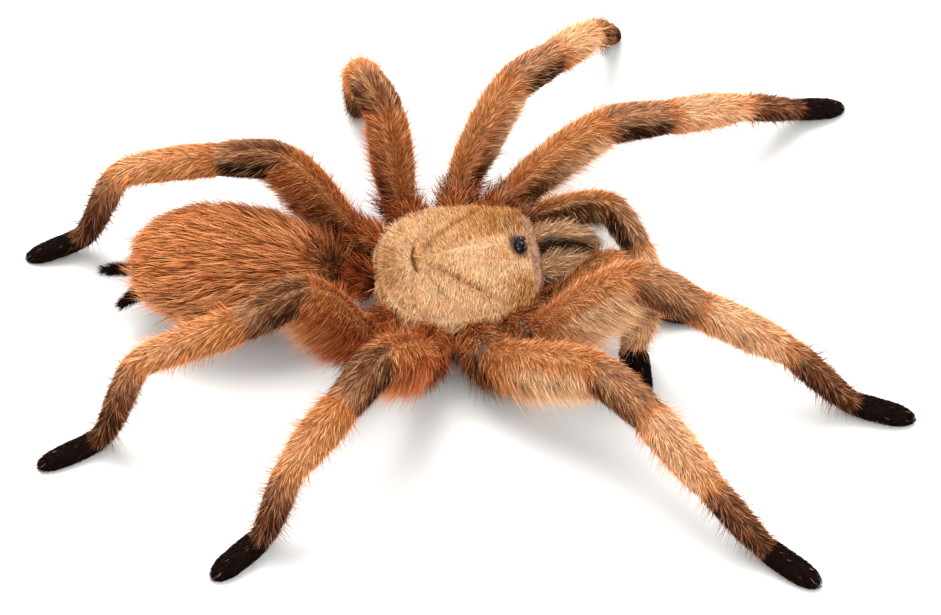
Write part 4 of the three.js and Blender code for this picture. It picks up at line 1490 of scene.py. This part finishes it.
class TARANTULA_OT_stage(bpy.types.Operator):
    """Lays a plain pale floor and sets soft studio light and the camera"""

    bl_idname = "tarantula.stage"
    bl_label = "Stage"

    def execute(self, context):
        corners = np.array([(-1, -1, 0), (1, -1, 0), (1, 1, 0), (-1, 1, 0)]) * FLOOR_HALF
        floor = mesh_object("floor", corners, np.array([[0, 1, 2, 3]]), smooth_faces=False)
        finish, _, bsdf = material("matt_white_board", **{"Roughness": 0.9, "Specular IOR Level": 0.1})
        bsdf.inputs["Base Color"].default_value = (*linear("CBCAC8"), 1)
        floor.data.materials.append(finish)
        world = bpy.data.worlds.new("studio")
        world.use_nodes = True
        background = world.node_tree.nodes["Background"]
        background.inputs["Color"].default_value = (1.0, 1.0, 1.0, 1.0)
        background.inputs["Strength"].default_value = SKY_STRENGTH
        context.scene.world = world
        for lamp in LAMPS:
            self.lamp(context, **lamp)
        context.scene.view_settings.view_transform = "Standard"
        self.camera(context)
        return {"FINISHED"}

    def lamp(self, context, name, spot, size, power):
        """A square soft light that faces the animal."""
        light = bpy.data.lights.new(name, "AREA")
        light.size, light.energy = size, power
        made = bpy.data.objects.new(name, light)
        made.location = Vector(spot) * MM
        made.rotation_euler = (-made.location).to_track_quat("-Z", "Y").to_euler()
        context.scene.collection.objects.link(made)

    def camera(self, context):
        """The camera stands back from its target by its distance, at its azimuth and elevation."""
        turn, rise = math.radians(CAMERA["azimuth"]), math.radians(CAMERA["elevation"])
        back = np.array([math.sin(turn) * math.cos(rise), -math.cos(turn) * math.cos(rise), math.sin(rise)])
        target = (np.array(CAMERA["target"]) + SHIFT) * MM
        data = bpy.data.cameras.new("camera")
        data.lens, data.sensor_width, data.clip_start, data.clip_end = CAMERA["lens"], 36.0, 0.01, 10.0
        made = bpy.data.objects.new("camera", data)
        made.location = Vector(target + back * CAMERA["distance"] * MM)
        made.rotation_euler = Vector(-back).to_track_quat("-Z", "Y").to_euler()
        context.scene.collection.objects.link(made)
        context.scene.camera = made


# In the order in which they run.
OPERATORS = (
    TARANTULA_OT_stage,
    TARANTULA_OT_skin,
    TARANTULA_OT_carapace,
    TARANTULA_OT_eyes,
    TARANTULA_OT_horn,
    TARANTULA_OT_limb_coat,
    TARANTULA_OT_body_coat,
)


class TARANTULA_PT_panel(bpy.types.Panel):
    """The steps and settings of the tarantula"""

    bl_label = "Tarantula"
    bl_space_type = "VIEW_3D"
    bl_region_type = "UI"
    bl_category = "Tarantula"

    def draw(self, context):
        layout = self.layout
        for group in (context.scene.tarantula_sizes, context.scene.tarantula_colours):
            for name in type(group).__annotations__:
                layout.prop(group, name)
        for operator in OPERATORS:
            layout.operator(operator.bl_idname)


CLASSES = (TarantulaColours, TarantulaSizes, *OPERATORS, TARANTULA_PT_panel)


def register():
    """Registers the classes and hangs the settings on the scene."""
    for cls in CLASSES:
        bpy.utils.register_class(cls)
    bpy.types.Scene.tarantula_colours = PointerProperty(type=TarantulaColours)
    bpy.types.Scene.tarantula_sizes = PointerProperty(type=TarantulaSizes)


def unregister():
    """Takes the settings and classes away again."""
    del bpy.types.Scene.tarantula_sizes
    del bpy.types.Scene.tarantula_colours
    for cls in reversed(CLASSES):
        bpy.utils.unregister_class(cls)


def main():
    """Runs every step in order."""
    register()
    for operator in OPERATORS:
        group, step = operator.bl_idname.split(".")
        getattr(getattr(bpy.ops, group), step)()


if __name__ == "__main__":
    main()
